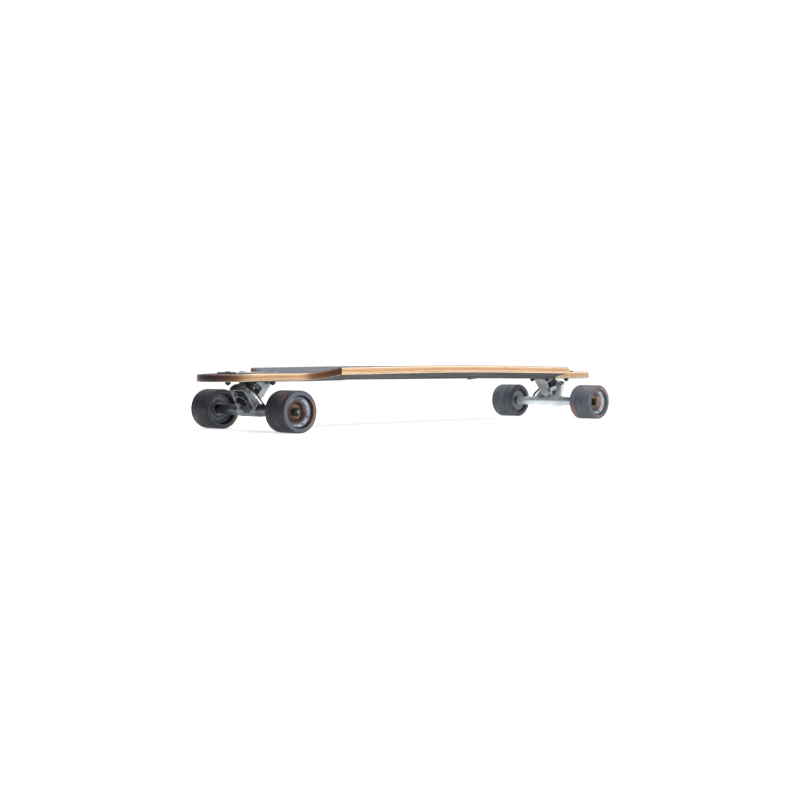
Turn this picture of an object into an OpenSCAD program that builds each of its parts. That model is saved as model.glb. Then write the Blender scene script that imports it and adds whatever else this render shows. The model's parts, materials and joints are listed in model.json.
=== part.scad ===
// Electric longboard with a drop-through deck, a battery sunk into the deck and two hub motors.
// +X is the nose, +Y the rider's left, +Z up. The origin is on the ground under the deck's middle.

/* [Deck] */
// Overall length of the deck
deck_len = 976; // [970:1:984]
// Width of the deck over the rails
deck_w = 261; // [258:1:264]
// Width of the nose and the tail between the wheels
neck_w = 140; // [138:1:142]
// Thickness of the laminated wood
deck_t = 12; // [12:0.1:12.6]
// How far the rails rise above the flat middle
concave = 11.2; // [10:0.1:12]
// Height of the underside above the ground at the trucks
neck_z = 83.8; // [83.6:0.1:84.2]

/* [Running gear] */
// Distance between the axles
wheelbase = 784; // [782:1:786]
// Distance between the middles of the left and the right wheels
track = 220; // [220:0.5:221]
// Diameter of a wheel
wheel_d = 70; // [69:0.5:70]
// Width of a wheel
wheel_w = 52; // [51:0.5:52]
// Angle between the steering axis and the ground
steer_angle = 32; // [31:0.5:33]

/* [Controls] */
// Diameter of the power button
button_d = 12; // [11:0.5:13]
// How far the power button travels
button_travel = 1.2; // [1:0.1:1.4]
// Radius of the charging socket's bore
socket_r = 2.75; // [2.5:0.05:3]

/* [Hidden] */
$fn = 48;

// Colours
wood_c = "burlywood";
tape_c = "slategray";
black_c = [0.12, 0.12, 0.13];
steel_c = "silver";
alloy_c = [0.80, 0.83, 0.83];
urethane_c = [0.27, 0.27, 0.31];
core_c = [0.20, 0.21, 0.24];
bronze_c = [0.55, 0.36, 0.22];

// Deck outline: rails, sharp rail corners, cut-outs for the wheels, necks and rounded ends
hw = deck_w / 2;
nw = neck_w / 2;
tip_len = 74;
tip_x = deck_len / 2 - tip_len;
rail_x = 300;
cut_len = 46;
cut_end = rail_x + cut_len;

// Deck surface: camber along the board and concave across it
camber = 3.2;
flat_hw = 56;
concave_power = 1.15;
belly_t = 4;
belly_x0 = 235;
belly_x1 = 290;
belly_y0 = 62;
belly_y1 = 96;
edge_over = 12;

// Battery bay in the underside
bay_x = 225;
bay_y = 54;
cover_x = 240;
cover_y = 66;
cover_z = 86.0;
cover_t = 3.0;
gasket_t = 0.5;
seat_z = cover_z + cover_t + gasket_t;
bay_top = 97.0;
corner_r = 10;
screw_r = 1.5;
screw_head_r = 2.9;

// Truck mounting pattern
mount_x = 394;
mount_dx = 63.5 / 2;
mount_dy = 41.3 / 2;
mount_bolt_r = 2.4;
mount_hole_r = 2.8;
plate_x = 399;
plate_len = 94;
plate_w = 57;
plate_t = 4.5;
neck_top = neck_z + deck_t;
slot_x0 = 356;
slot_x1 = 440;
slot_w = 32;
slot_mid_x0 = 378;
slot_mid_x1 = 411;
slot_mid_w = 50;

// Steering: ring centre on the steering axis, and everything along the kingpin from there
axle_x = wheelbase / 2;
wheel_r = wheel_d / 2;
ring_x = axle_x + 12.5;
ring_z = wheel_r + 33;
ring_r = 17;
ring_half = 5;
ring_hole_r = 8;
bush_seat = 19;
bush_r = 11.5;
kingpin_r = 4.76;
road_len = 11.5;
washer_t = 1.6;
nut_t = 8;
nose_r = 5.5;
nose_gap = 0.05;
nose_tip = -25.5;
cup_r = 7.2;
cup_back = -28;
cup_front = -19;
house_r = 9.3;
house_back = -30.5;
house_front = -19.5;

// Axle and hanger tube
axle_r = 4;
axle_half = track / 2 + 20;
tube_r = 10;
tube_end_r = 8.4;
front_tube_half = track / 2 - 15.4;
rear_tube_half = track / 2 - 23.4;
washer_gap = 0.2;
sleeve_r = 6.2;

// Wheels: bearing seats measured outwards from a wheel's middle
bearing_r = 11;
bearing_w = 7;
bearing_run = 0.04;
outer_seat = 3;
front_inner_seat = -14;
rear_inner_seat = -22;
core_r = 25.5;
lip_r = 27.3;
magnet_r = 19.6;
stator_r = 19.0;

function clamp01(v) = min(1, max(0, v));
function smooth(v) = let (c = clamp01(v)) c * c * (3 - 2 * c);
function lift(y) = concave * pow(max(0, (abs(y) - flat_hw) / (hw - flat_hw)), concave_power);
function arch(x) = camber * pow(max(0, 1 - pow(x / cut_end, 2)), 2);
function under_z(x, y) = neck_z + arch(x) + lift(y);
function belly(x, y) = belly_t * (1 - smooth((abs(x) - belly_x0) / (belly_x1 - belly_x0)))
                       * (1 - smooth((abs(y) - belly_y0) / (belly_y1 - belly_y0)));
function over_z(x, y) = under_z(x, y) + deck_t + belly(x, y);

// Quarter outline from the tip to the middle of the rail, on the +X +Y side
function quarter() = concat(
    [for (a = [0:7.5:90]) [tip_x + tip_len * cos(a), nw * sin(a)]],
    [for (a = [0:9:90]) [cut_end - cut_len * sin(a), hw - (hw - nw) * cos(a)]]);
function reversed(p) = [for (i = [len(p) - 1:-1:0]) p[i]];
function outline() = let (q = quarter(), n = len(q)) concat(
    q,
    [for (p = reversed(q)) [-p[0], p[1]]],
    [for (i = [1:n - 1]) [-q[i][0], -q[i][1]]],
    [for (i = [n - 1:-1:1]) [q[i][0], -q[i][1]]]);

grid_x = [for (i = [-10:10]) i / 10 * (deck_len / 2 + edge_over)];
grid_y = [-hw - edge_over, -118, -104, -92, -80, -68, -flat_hw, 0,
          flat_hw, 68, 80, 92, 104, 118, hw + edge_over];

// A plank between two heights above the curved underside, over the whole rectangular grid
module plank(low, high) {
    nx = len(grid_x);
    ny = len(grid_y);
    lower = [for (x = grid_x) for (y = grid_y) [x, y, low ? over_z(x, y) : under_z(x, y)]];
    upper = [for (x = grid_x) for (y = grid_y) [x, y, over_z(x, y) + high]];
    m = nx * ny;
    top = [for (i = [0:nx - 2]) for (j = [0:ny - 2]) let (a = m + i * ny + j)
        each [[a, a + 1, a + ny + 1], [a, a + ny + 1, a + ny]]];
    bottom = [for (i = [0:nx - 2]) for (j = [0:ny - 2]) let (a = i * ny + j)
        each [[a, a + ny + 1, a + 1], [a, a + ny, a + ny + 1]]];
    ends = [for (j = [0:ny - 2]) let (a = j, b = (nx - 1) * ny + j)
        each [[a, a + 1, m + a + 1, m + a], [b, m + b, m + b + 1, b + 1]]];
    sides = [for (i = [0:nx - 2]) let (a = i * ny, b = i * ny + ny - 1)
        each [[a, m + a, m + a + ny, a + ny], [b, b + ny, m + b + ny, m + b]]];
    polyhedron(concat(lower, upper), concat(top, bottom, ends, sides));
}

module outline_prism() {
    linear_extrude(height = 200)
        polygon(outline());
}

// Flat plate with round corners, centred in X and Y
module round_plate(length, width, height, r) {
    linear_extrude(height = height) {
        square([length - 2 * r, width], center = true);
        square([length, width - 2 * r], center = true);
        for (sx = [-1, 1], sy = [-1, 1])
            translate([sx * (length / 2 - r), sy * (width / 2 - r)])
                circle(r);
    }
}

// Block with round corners made as a hull, used to cut the wood
module soft_block(x0, x1, half_w, z0, z1, r = 4) {
    hull()
        for (x = [x0 + r, x1 - r], y = [-half_w + r, half_w - r])
            translate([x, y, z0])
                cylinder(r = r, h = z1 - z0, $fn = 24);
}

module mount_places() {
    for (sx = [-1, 1], sy = [-1, 1])
        translate([mount_x + sx * mount_dx, sy * mount_dy, 0])
            children();
}

module at_both_ends() {
    for (m = [0, 1])
        mirror([m, 0, 0])
            children();
}

// Drop-through opening for one truck
module truck_slot() {
    soft_block(slot_x0, slot_x1, slot_w / 2, 60, 130);
    soft_block(slot_mid_x0, slot_mid_x1, slot_mid_w / 2, 60, 130);
}

cable_y = -38;
cable_z = 91.6;
cable_r = 1.9;
tunnel_r = 2.6;

module deck() {
    color(wood_c)
        difference() {
            intersection() {
                plank(false, 0);
                outline_prism();
            }
            soft_block(-bay_x, bay_x, bay_y, 60, bay_top, corner_r);
            soft_block(-cover_x - 0.3, cover_x + 0.3, cover_y + 0.3, 60, seat_z, corner_r);
            at_both_ends() {
                truck_slot();
                mount_places()
                    translate([0, 0, 60])
                        cylinder(r = mount_hole_r, h = 60, $fn = 24);
            }
            // Tunnel and pocket that lead the motor cable into the rear opening
            translate([-402, cable_y, cable_z])
                rotate([0, 90, 0])
                    cylinder(r = tunnel_r, h = 402 - bay_x + 8, $fn = 24);
            hull()
                for (x = [-415, -397], y = [-38, -18])
                    translate([x, y, 60])
                        cylinder(r = 4, h = cable_z + tunnel_r - 60, $fn = 24);
            cover_screw_places(seat_z - 1)
                cylinder(r = screw_r - 0.1, h = 6, $fn = 24);
        }
}

tape_t = 0.8;
module grip_tape() {
    color(tape_c)
        difference() {
            intersection() {
                plank(true, tape_t);
                resize([deck_len - 3, 0, 0])
                    outline_prism();
            }
            at_both_ends()
                soft_block(plate_x - plate_len / 2 - 1.5, plate_x + plate_len / 2 + 1.5,
                           plate_w / 2 + 1.5, 60, 130, 6);
        }
}

screw_x = [-220, -110, 0, 110, 220];
screw_y = 60;
screw_end_x = 232.5;
module cover_screw_places(z) {
    for (x = screw_x, sy = [-1, 1])
        translate([x, sy * screw_y, z])
            children();
    for (sx = [-1, 1])
        translate([sx * screw_end_x, 0, z])
            children();
}

button_x = -190;
button_y = 34;
socket_x = -190;
socket_y = -34;
bezel_r = button_d / 2 + 3;
lens_x = -190;
socket_out_r = 6;

module battery_cover() {
    color(black_c) {
        cap_lugs();
        cover_plate();
    }
}

module cover_plate() {
    difference() {
        translate([0, 0, cover_z])
            round_plate(2 * cover_x, 2 * cover_y, cover_t, corner_r);
        cover_screw_places(cover_z - 1)
            cylinder(r = screw_r + 0.2, h = cover_t + 2);
        cover_screw_places(cover_z - 1)
            cylinder(r = screw_head_r + 0.2, h = 1 + 1.6);
        translate([button_x, button_y, cover_z - 1])
            cylinder(r = bezel_r, h = cover_t + 2);
        translate([socket_x, socket_y, cover_z - 1])
            cylinder(r = socket_out_r, h = cover_t + 2);
        translate([lens_x, 0, cover_z - 1])
            round_plate(5, 26, cover_t + 2, 2.4);
    }
}

module cover_gasket() {
    color("black")
        translate([0, 0, cover_z + cover_t])
            difference() {
                round_plate(2 * cover_x - 2, 2 * cover_y - 2, gasket_t, corner_r);
                translate([0, 0, -1])
                    round_plate(2 * bay_x, 2 * bay_y, gasket_t + 2, corner_r);
                cover_screw_places(-1)
                    cylinder(r = screw_r + 0.2, h = gasket_t + 2);
            }
}

module cover_screws() {
    color(steel_c)
        cover_screw_places(cover_z)
            difference() {
                union() {
                    cylinder(r = screw_head_r, h = 1.6);
                    cylinder(r = screw_r - 0.1, h = cover_t + gasket_t + 4.5);
                }
                translate([0, 0, -1])
                    cylinder(r = 1.4, h = 1.9, $fn = 6);
            }
}

// Ten flat pouch cells in two rows
cell_len = 60;
cell_w = 50;
cell_t = 6.6;
cell_pitch = 63;
cell_x0 = -92;
cell_y = 27.2;
cell_z = cover_z + cover_t + 0.5;
tab_w = 22;
tab_t = 1.2;
module battery_cells() {
    color("steelblue")
        for (i = [0:4], sy = [-1, 1])
            translate([cell_x0 + i * cell_pitch + cell_len / 2, sy * cell_y, cell_z])
                round_plate(cell_len, cell_w, cell_t, 2);
}

module cell_busbars() {
    color("peru")
        for (i = [0:3], sy = [-1, 1])
            translate([cell_x0 + i * cell_pitch + cell_len, sy * cell_y - tab_w / 2, cell_z + 2])
                cube([cell_pitch - cell_len, tab_w, tab_t]);
}

// Battery board with three power chips
board_x = -113;
board_t = 1.6;
module bms_board() {
    color("darkgreen") {
        translate([board_x - 19, -45, cell_z + 1])
            cube([38, 90, board_t]);
        for (y = [-22, 0, 22])
            translate([board_x - 13, y - 8, cell_z + 1 + board_t])
                cube([20, 16, 3]);
    }
}

// Motor controller in a flat finned case, cleared for the button, socket and lens
controller_x = -178;
controller_t = 7;
module controller() {
    color(alloy_c)
        difference() {
            translate([controller_x, 0, cell_z])
                round_plate(76, 92, controller_t, 4);
            translate([button_x, button_y, cell_z - 1])
                cylinder(r = bezel_r + 1, h = 10);
            translate([socket_x, socket_y, cell_z - 1])
                cylinder(r = socket_out_r + 2.5, h = 10);
            translate([lens_x, 0, cell_z - 1])
                cube([8, 29, 4], center = true);
            for (i = [-3:3])
                translate([controller_x + 28, i * 11 - 2.5, cell_z + controller_t - 2])
                    cube([20, 5, 4]);
        }
}

// Ring that carries the button; its bore guides the plunger
plunger_r = button_d / 2;
plunger_len = 4.8;
plunger_gap = 0.06;
bezel_lip = 1.0;
bezel_depth = 7;
module button_bezel() {
    color(steel_c)
        translate([button_x, button_y, 0])
            difference() {
                union() {
                    translate([0, 0, cover_z - bezel_lip])
                        cylinder(r1 = bezel_r - 0.4, r2 = bezel_r + 1, h = bezel_lip);
                    translate([0, 0, cover_z])
                        cylinder(r = bezel_r, h = bezel_depth);
                }
                translate([0, 0, cover_z - bezel_lip - 1])
                    cylinder(r = plunger_r + plunger_gap, h = bezel_depth);
            }
}

module power_button() {
    color("dimgray")
        translate([button_x, button_y, cover_z - button_travel])
            difference() {
                cylinder(r = plunger_r, h = plunger_len);
                translate([0, 0, -1])
                    cylinder(r = plunger_r - 2.2, h = 1 + 0.4);
            }
}

module status_lens() {
    color("white")
        translate([lens_x, 0, cover_z])
            round_plate(5, 26, cover_t, 2.4);
}

socket_depth = 7.5;
module charge_socket() {
    color(black_c)
        translate([socket_x, socket_y, cover_z])
            difference() {
                cylinder(r = socket_out_r, h = socket_depth + 1.5);
                translate([0, 0, -1])
                    cylinder(r = socket_r, h = socket_depth + 1);
            }
}

// Cap that swings on a pin between two lugs of the cover
cap_r = 7.5;
cap_t = 1.8;
cap_gap = 0.3;
cap_hinge_y = socket_y - 10;
cap_hinge_r = 1.5;
cap_hinge_z = cover_z - cap_gap - cap_hinge_r;
cap_barrel = 6;
cap_pin_r = 0.6;
lug_t = 2;
lug_gap = 0.3;
module along_cap_hinge(r, length) {
    translate([socket_x - length / 2, cap_hinge_y, cap_hinge_z])
        rotate([0, 90, 0])
            cylinder(r = r, h = length);
}

module charge_cap() {
    color("black")
        difference() {
            union() {
                translate([socket_x, socket_y, cover_z - cap_gap - cap_t])
                    cylinder(r = cap_r, h = cap_t);
                translate([socket_x - cap_barrel / 2, cap_hinge_y, cover_z - cap_gap - cap_t])
                    cube([cap_barrel, 10, cap_t]);
                along_cap_hinge(cap_hinge_r, cap_barrel);
            }
            along_cap_hinge(cap_pin_r + 0.05, cap_barrel + 2);
        }
}

module cap_pin() {
    color(steel_c)
        along_cap_hinge(cap_pin_r, cap_barrel + 2 * lug_gap + 2 * lug_t);
}

module cap_lugs() {
    for (sx = [-1, 1])
        translate([socket_x + sx * (cap_barrel / 2 + lug_gap + lug_t / 2), cap_hinge_y, cap_hinge_z])
            difference() {
                translate([-lug_t / 2, -cap_hinge_r, -cap_hinge_r])
                    cube([lug_t, 2 * cap_hinge_r, cover_z - cap_hinge_z + cap_hinge_r]);
                rotate([0, 90, 0])
                    cylinder(r = cap_pin_r, h = lug_t + 1, center = true);
            }
}

// Cable from the controller, through the deck, to the top of the rear hanger
cable_path = [
    [-216, -38, 91.6], [-228, -38, 91.6], [-240, -38, 91.6], [-265, -38, 91.6], [-290, -38, 91.6],
    [-315, -38, 91.6], [-340, -38, 91.6], [-365, -38, 91.6], [-382, -38, 91.6], [-391, -38, 91.4],
    [-398, -37, 90.5], [-404, -35, 88.0], [-407, -32.5, 84.5], [-408, -31, 80.0],
    [-408, -31, 75.0], [-407.5, -32, 70.0], [-406, -34.5, 65.0], [-404, -37.5, 60.0],
    [-401, -40.5, 55.5], [-397.5, -43, 51.5], [-395, -44.3, 48.0], [-394, -44.5, 44.5],
    [-394, -44.5, 41.8]];
cable_sides = 8;
function unit(v) = v / norm(v);
function tangent(p, i) = unit(p[min(i + 1, len(p) - 1)] - p[max(i - 1, 0)]);
module motor_cable() {
    n = len(cable_path);
    rings = [for (i = [0:n - 1]) let (
            t = tangent(cable_path, i),
            side = unit(cross(t, [0.13, 0.97, 0.2])),
            up = cross(side, t))
        for (k = [0:cable_sides - 1]) let (a = k * 360 / cable_sides)
            cable_path[i] + cable_r * (cos(a) * side + sin(a) * up)];
    skin = [for (i = [0:n - 2]) for (k = [0:cable_sides - 1]) let (
            a = i * cable_sides + k,
            b = i * cable_sides + (k + 1) % cable_sides)
        each [[a, b, b + cable_sides], [a, b + cable_sides, a + cable_sides]]];
    first = [for (k = [cable_sides - 1:-1:0]) k];
    last = [for (k = [0:cable_sides - 1]) (n - 1) * cable_sides + k];
    color("black")
        polyhedron(rings, concat(skin, [first], [last]));
}

// Local frame of the steering: X along the steering axis, Z along the kingpin towards the deck
module steer_frame() {
    translate([ring_x, 0, ring_z])
        rotate([0, -steer_angle, 0])
            children();
}

module x_cylinder(r, x0, x1) {
    translate([x0, 0, 0])
        rotate([0, 90, 0])
            cylinder(r = r, h = x1 - x0);
}

module y_cylinder(r, y0, y1) {
    translate([0, y1, 0])
        rotate([90, 0, 0])
            cylinder(r = r, h = y1 - y0);
}

block_w = 22;
kingpin_head = 31;
module baseplate() {
    color(alloy_c)
        difference() {
            union() {
                translate([plate_x, 0, neck_top])
                    round_plate(plate_len, plate_w, plate_t, 8);
                // Wedge that runs down to the pivot housing
                hull() {
                    steer_frame()
                        x_cylinder(house_r, house_back, house_front);
                    translate([slot_x0 + 1.5, -block_w / 2, neck_top])
                        cube([32, block_w, 0.5]);
                    translate([slot_x0 + 1.5, -block_w / 2, neck_z - 4])
                        cube([10, block_w, 0.5]);
                }
                // Boss with the seat of the deck-side bushing
                intersection() {
                    steer_frame()
                        translate([0, 0, bush_seat])
                            cylinder(r = 14, h = 40);
                    translate([slot_x0, -30, 40])
                        cube([slot_x1 - slot_x0 - 1, 60, neck_top + 1 - 40]);
                }
            }
            mount_places() {
                translate([0, 0, neck_top - 1])
                    cylinder(r = mount_hole_r - 0.2, h = plate_t + 2);
                translate([0, 0, neck_top + plate_t - bolt_sink])
                    cylinder(r = bolt_head_r + 0.4, h = bolt_sink + 1);
            }
            steer_frame() {
                // Pivot cup's pocket, opening towards the ring
                x_cylinder(cup_r, cup_back, 0);
                // Kingpin hole and the pocket of its head
                translate([0, 0, bush_seat - 1])
                    cylinder(r = kingpin_r, h = 40);
                translate([0, 0, kingpin_head - 0.01])
                    cylinder(r = 8, h = 30);
                // Room for the hanger's nose and ring
                translate([house_front, -20, -30])
                    cube([60, 40, 30 + bush_seat]);
            }
        }
}

bolt_head_r = 4.6;
bolt_head_t = 2.6;
bolt_sink = 1.6;
bolt_tail = 6.5;
module mount_bolts() {
    color(black_c)
        mount_places()
            difference() {
                union() {
                    translate([0, 0, neck_top + plate_t - bolt_sink])
                        cylinder(r = bolt_head_r, h = bolt_head_t);
                    translate([0, 0, neck_z - bolt_tail])
                        cylinder(r = mount_bolt_r, h = deck_t + plate_t + bolt_tail - 1);
                }
                translate([0, 0, neck_top + plate_t - bolt_sink + 1])
                    cylinder(r = 2, h = bolt_head_t, $fn = 6);
            }
}

// Flanged locknuts under the deck
flange_t = 1;
mount_nut_t = 4.2;
module mount_nuts() {
    color(black_c)
        mount_places()
            translate([0, 0, neck_z - mount_nut_t - flange_t])
                difference() {
                    union() {
                        cylinder(r = 5.2, h = mount_nut_t, $fn = 6);
                        translate([0, 0, mount_nut_t])
                            cylinder(r = 5.6, h = flange_t);
                    }
                    translate([0, 0, -1])
                        cylinder(r = mount_bolt_r, h = 8);
                }
}

road_end = -ring_half - road_len;
kingpin_tail = 2 * washer_t + nut_t + 1.5;
module kingpin() {
    color(steel_c)
        steer_frame() {
            translate([0, 0, road_end - kingpin_tail])
                cylinder(r = kingpin_r, h = kingpin_head - road_end + kingpin_tail);
            translate([0, 0, kingpin_head])
                cylinder(r = 7.8, h = 4.5, $fn = 6);
        }
}

module kingpin_nut() {
    color(steel_c)
        steer_frame()
            translate([0, 0, road_end - washer_t - nut_t])
                difference() {
                    cylinder(r = 8.2, h = nut_t, $fn = 6);
                    translate([0, 0, -1])
                        cylinder(r = kingpin_r, h = nut_t + 2);
                }
}

module washers() {
    color(steel_c)
        steer_frame()
            translate([0, 0, road_end - washer_t])
                difference() {
                    cylinder(r = 10.8, h = washer_t);
                    translate([0, 0, -1])
                        cylinder(r = kingpin_r, h = washer_t + 2);
                }
}

module bushing_board() {
    color("black")
        steer_frame()
            translate([0, 0, ring_half])
                difference() {
                    rotate_extrude()
                        polygon([[0, 0], [bush_r - 1, 0], [bush_r, 2], [bush_r, 6],
                                 [bush_r - 0.8, 7], [bush_r, 8], [bush_r, 12], [bush_r - 1, 14],
                                 [0, 14]]);
                    translate([0, 0, -1])
                        cylinder(r = kingpin_r, h = 16);
                }
}

module bushing_road() {
    color("black")
        steer_frame()
            translate([0, 0, road_end])
                difference() {
                    cylinder(r1 = 9.4, r2 = bush_r, h = road_len);
                    translate([0, 0, -1])
                        cylinder(r = kingpin_r, h = road_len + 2);
                }
}

module pivot_cup() {
    color("dimgray")
        steer_frame()
            difference() {
                x_cylinder(cup_r, cup_back, cup_front);
                x_cylinder(nose_r + nose_gap, nose_tip - 0.4, 0);
            }
}

// Yoke round the bushings, and the arms that spread from it to the axle tube
yoke_half = 22.5;
yoke_crown = 14;
yoke_back = -6;
yoke_front = 16;
yoke_top = 4.2;
yoke_drop = 9;
foot_y0 = 19;
foot_y1 = 36;
boom_r = 11.3;
boom_mid = 28;
tube_mid = 40;
tube_land = 12;
port_x = 2;
port_y = 44.5;
port_r = 3.2;
module yoke() {
    translate([yoke_back, 0, 0])
        rotate([90, 0, 90])
            linear_extrude(height = yoke_front - yoke_back)
                polygon([[-yoke_half, -yoke_drop], [yoke_half, -yoke_drop], [yoke_half, -1],
                         [yoke_crown, yoke_top], [-yoke_crown, yoke_top], [-yoke_half, -1]]);
}

// One arm: a flange at the back and a rib at the front, with a gap between them
module arm(sy) {
    hull() {
        steer_frame()
            translate([-5, sy * 18.5 - 3, -4])
                cube([9, 6, 6.5]);
        translate([axle_x - 2, 0, wheel_r + 3])
            y_cylinder(5, sy > 0 ? foot_y0 : -foot_y1, sy > 0 ? foot_y1 : -foot_y0);
    }
    hull() {
        steer_frame()
            translate([8, sy * 18.5 - 3, -yoke_drop + 1])
                cube([7, 6, 5]);
        translate([axle_x + 4, 0, wheel_r])
            y_cylinder(5, sy > 0 ? foot_y0 + 3 : -foot_y0 - 9, sy > 0 ? foot_y0 + 9 : -foot_y0 - 3);
    }
}

// Gusset under the pivot nose
module nose_web() {
    steer_frame()
        rotate([90, 0, 0])
            linear_extrude(height = 12, center = true)
                polygon([[-18, -2], [-18, -12], [-28, -12.8], [-30, -20], [-20, -24],
                         [-10, -14], [-10, -2]]);
}

module tube_side(tube_half) {
    cylinder(r = boom_r, h = boom_mid);
    translate([0, 0, boom_mid])
        cylinder(r1 = boom_r, r2 = tube_r, h = tube_mid - boom_mid);
    translate([0, 0, tube_mid])
        cylinder(r1 = tube_r, r2 = tube_end_r, h = tube_half - tube_land - tube_mid);
    translate([0, 0, tube_half - tube_land])
        cylinder(r = tube_end_r, h = tube_land);
}

module hanger(tube_half, with_port) {
    color(alloy_c)
        difference() {
            union() {
                steer_frame() {
                    cylinder(r = ring_r, h = 2 * ring_half, center = true);
                    x_cylinder(nose_r, nose_tip, -12);
                    yoke();
                }
                arm(1);
                arm(-1);
                nose_web();
                translate([axle_x, 0, wheel_r])
                    for (sy = [-1, 1])
                        rotate([sy * -90, 0, 0])
                            tube_side(tube_half);
            }
            steer_frame() {
                cylinder(r = ring_hole_r, h = 80, center = true);
                // Seat of the road-side bushing, flared so that nothing touches as it steers
                translate([0, 0, -ring_half - 30])
                    cylinder(r1 = 25, r2 = bush_r + 1.6, h = 30);
            }
            if (with_port)
                translate([axle_x + port_x, port_y, wheel_r + 5])
                    cylinder(r = port_r, h = 20);
            translate([axle_x, 0, wheel_r])
                y_cylinder(axle_r, -axle_half, axle_half);
        }
}

module axle() {
    color(steel_c)
        translate([axle_x, 0, wheel_r])
            y_cylinder(axle_r, -axle_half, axle_half);
}

// Speed rings beside the bearings and the spacer between them
module axle_washers(tube_half, inner_seat) {
    inner_face = track / 2 + inner_seat;
    outer_face = track / 2 + outer_seat + bearing_w;
    color(steel_c)
        translate([axle_x, 0, wheel_r])
            for (s = [-1, 1])
                mirror([0, s < 0 ? 1 : 0, 0]) {
                    axle_ring(sleeve_r, tube_half, inner_face - washer_gap);
                    axle_ring(sleeve_r, inner_face + bearing_w + washer_gap,
                              track / 2 + outer_seat - washer_gap);
                    axle_ring(sleeve_r, outer_face + washer_gap, outer_face + washer_gap + 1);
                }
}

module axle_ring(r, y0, y1) {
    difference() {
        y_cylinder(r, y0, y1);
        y_cylinder(axle_r, y0 - 1, y1 + 1);
    }
}

module axle_nuts() {
    nut_y = track / 2 + outer_seat + bearing_w + washer_gap + 1;
    color(steel_c)
        translate([axle_x, 0, wheel_r])
            for (s = [-1, 1])
                mirror([0, s < 0 ? 1 : 0, 0])
                    difference() {
                        translate([0, nut_y, 0])
                            rotate([-90, 0, 0])
                                cylinder(r = 7.3, h = 7, $fn = 6);
                        y_cylinder(axle_r, nut_y - 1, nut_y + 9);
                    }
}

// Wheel parts are drawn around +Z, with the outer face up, then laid along the axle
module wheel_place(end, side) {
    translate([end * axle_x, side * track / 2, wheel_r])
        rotate([side * -90, 0, 0])
            children();
}

wr = wheel_r;
wh = wheel_w / 2;
module tyre_shape(inner_open) {
    color(urethane_c)
        rotate_extrude()
            polygon(concat(
                [[core_r, inner_open], [lip_r - 1, -wh + 3], [lip_r, -wh]],
                [[wr - 4, -wh], [wr - 1.5, -wh + 0.8], [wr, -wh + 4]],
                [[wr, wh - 4], [wr - 1.5, wh - 0.8], [wr - 4, wh]],
                [[lip_r, wh], [lip_r - 1.2, wh - 5.5], [core_r, wh - 7.5]]));
}

// Outer face shared by the front cores and the motor cans
face_profile = [[core_r, 18], [24.9, 20], [21.7, 20], [20.6, 14.5], [19.2, 14.5],
                [17.6, 17.5], [16.8, 17.5], [12.0, 10.6], [bearing_r - 1.2, 10.6],
                [bearing_r - 1.2, outer_seat + bearing_w], [bearing_r, outer_seat + bearing_w]];

module front_core() {
    color(core_c)
        difference() {
            rotate_extrude()
                polygon(concat(face_profile, [
                    [bearing_r, outer_seat], [8.5, outer_seat], [8.5, front_inner_seat + bearing_w],
                    [bearing_r, front_inner_seat + bearing_w], [bearing_r, front_inner_seat],
                    [13, front_inner_seat - 1], [15, front_inner_seat + 3],
                    [22, front_inner_seat + 3], [23, front_inner_seat], [core_r, front_inner_seat]]));
            for (i = [0:7])
                rotate([0, 0, i * 45])
                    translate([16.5, 0, front_inner_seat])
                        cylinder(r = 2.6, h = 12);
        }
}

// Motor can: outer cap with the bearing seat, wall, and the magnets' track inside
can_low = -18;
can_r = magnet_r + 2;
hub_r = 9;
module motor_can() {
    color(bronze_c) {
        rotate_extrude()
            polygon(concat(face_profile, [
                [bearing_r, outer_seat], [hub_r, outer_seat], [hub_r, outer_seat - 1],
                [can_r, outer_seat - 1], [can_r, can_low], [core_r, can_low]]));
        // Inner cover with the inner bearing's seat
        translate([0, 0, rear_inner_seat])
            difference() {
                cylinder(r = can_r, h = bearing_w + 1);
                translate([0, 0, -1])
                    cylinder(r = bearing_r, h = bearing_w + 1);
                translate([0, 0, bearing_w - 1])
                    cylinder(r = hub_r, h = 3);
            }
        // Rim that joins the cover to the wall
        translate([0, 0, can_low])
            difference() {
                cylinder(r = core_r, h = 2.5);
                translate([0, 0, -1])
                    cylinder(r = magnet_r, h = 5);
            }
    }
}

magnet_count = 14;
module magnets() {
    color("gray")
        for (i = [0:magnet_count - 1])
            rotate([0, 0, i * 360 / magnet_count])
                translate([0, 0, -14])
                    rotate_extrude(angle = 360 / magnet_count - 4)
                        translate([magnet_r + 0.2, 0])
                            square([1.8, 15]);
}

slot_count = 12;
// Laminated stator with copper windings between its teeth
module stator() {
    color("peru")
        translate([0, 0, -13])
            difference() {
                union() {
                    cylinder(r = 11.5, h = 12);
                    for (i = [0:slot_count - 1])
                        rotate([0, 0, i * 360 / slot_count]) {
                            translate([11, -1.6, 2])
                                cube([6.6, 3.2, 9]);
                            translate([0, 0, 2])
                                intersection() {
                                    difference() {
                                        cylinder(r = stator_r, h = 9);
                                        translate([0, 0, -1])
                                            cylinder(r = 17.4, h = 11);
                                    }
                                    translate([14, -3.6, 0])
                                        cube([8, 7.2, 9]);
                                }
                        }
                }
                translate([0, 0, -1])
                    cylinder(r = sleeve_r, h = 14);
            }
}

module bearings(inner_seat) {
    color(steel_c)
        for (z = [inner_seat, outer_seat])
            translate([0, 0, z])
                difference() {
                    cylinder(r = bearing_r, h = bearing_w);
                    translate([0, 0, -1])
                        cylinder(r = axle_r + bearing_run, h = bearing_w + 2);
                    for (zz = [-1, bearing_w - 0.5])
                        translate([0, 0, zz])
                            difference() {
                                cylinder(r = 9.3, h = 1.5);
                                translate([0, 0, -1])
                                    cylinder(r = 6.4, h = 4);
                            }
                }
}

module rear() {
    rotate([0, 0, 180])
        children();
}

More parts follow.
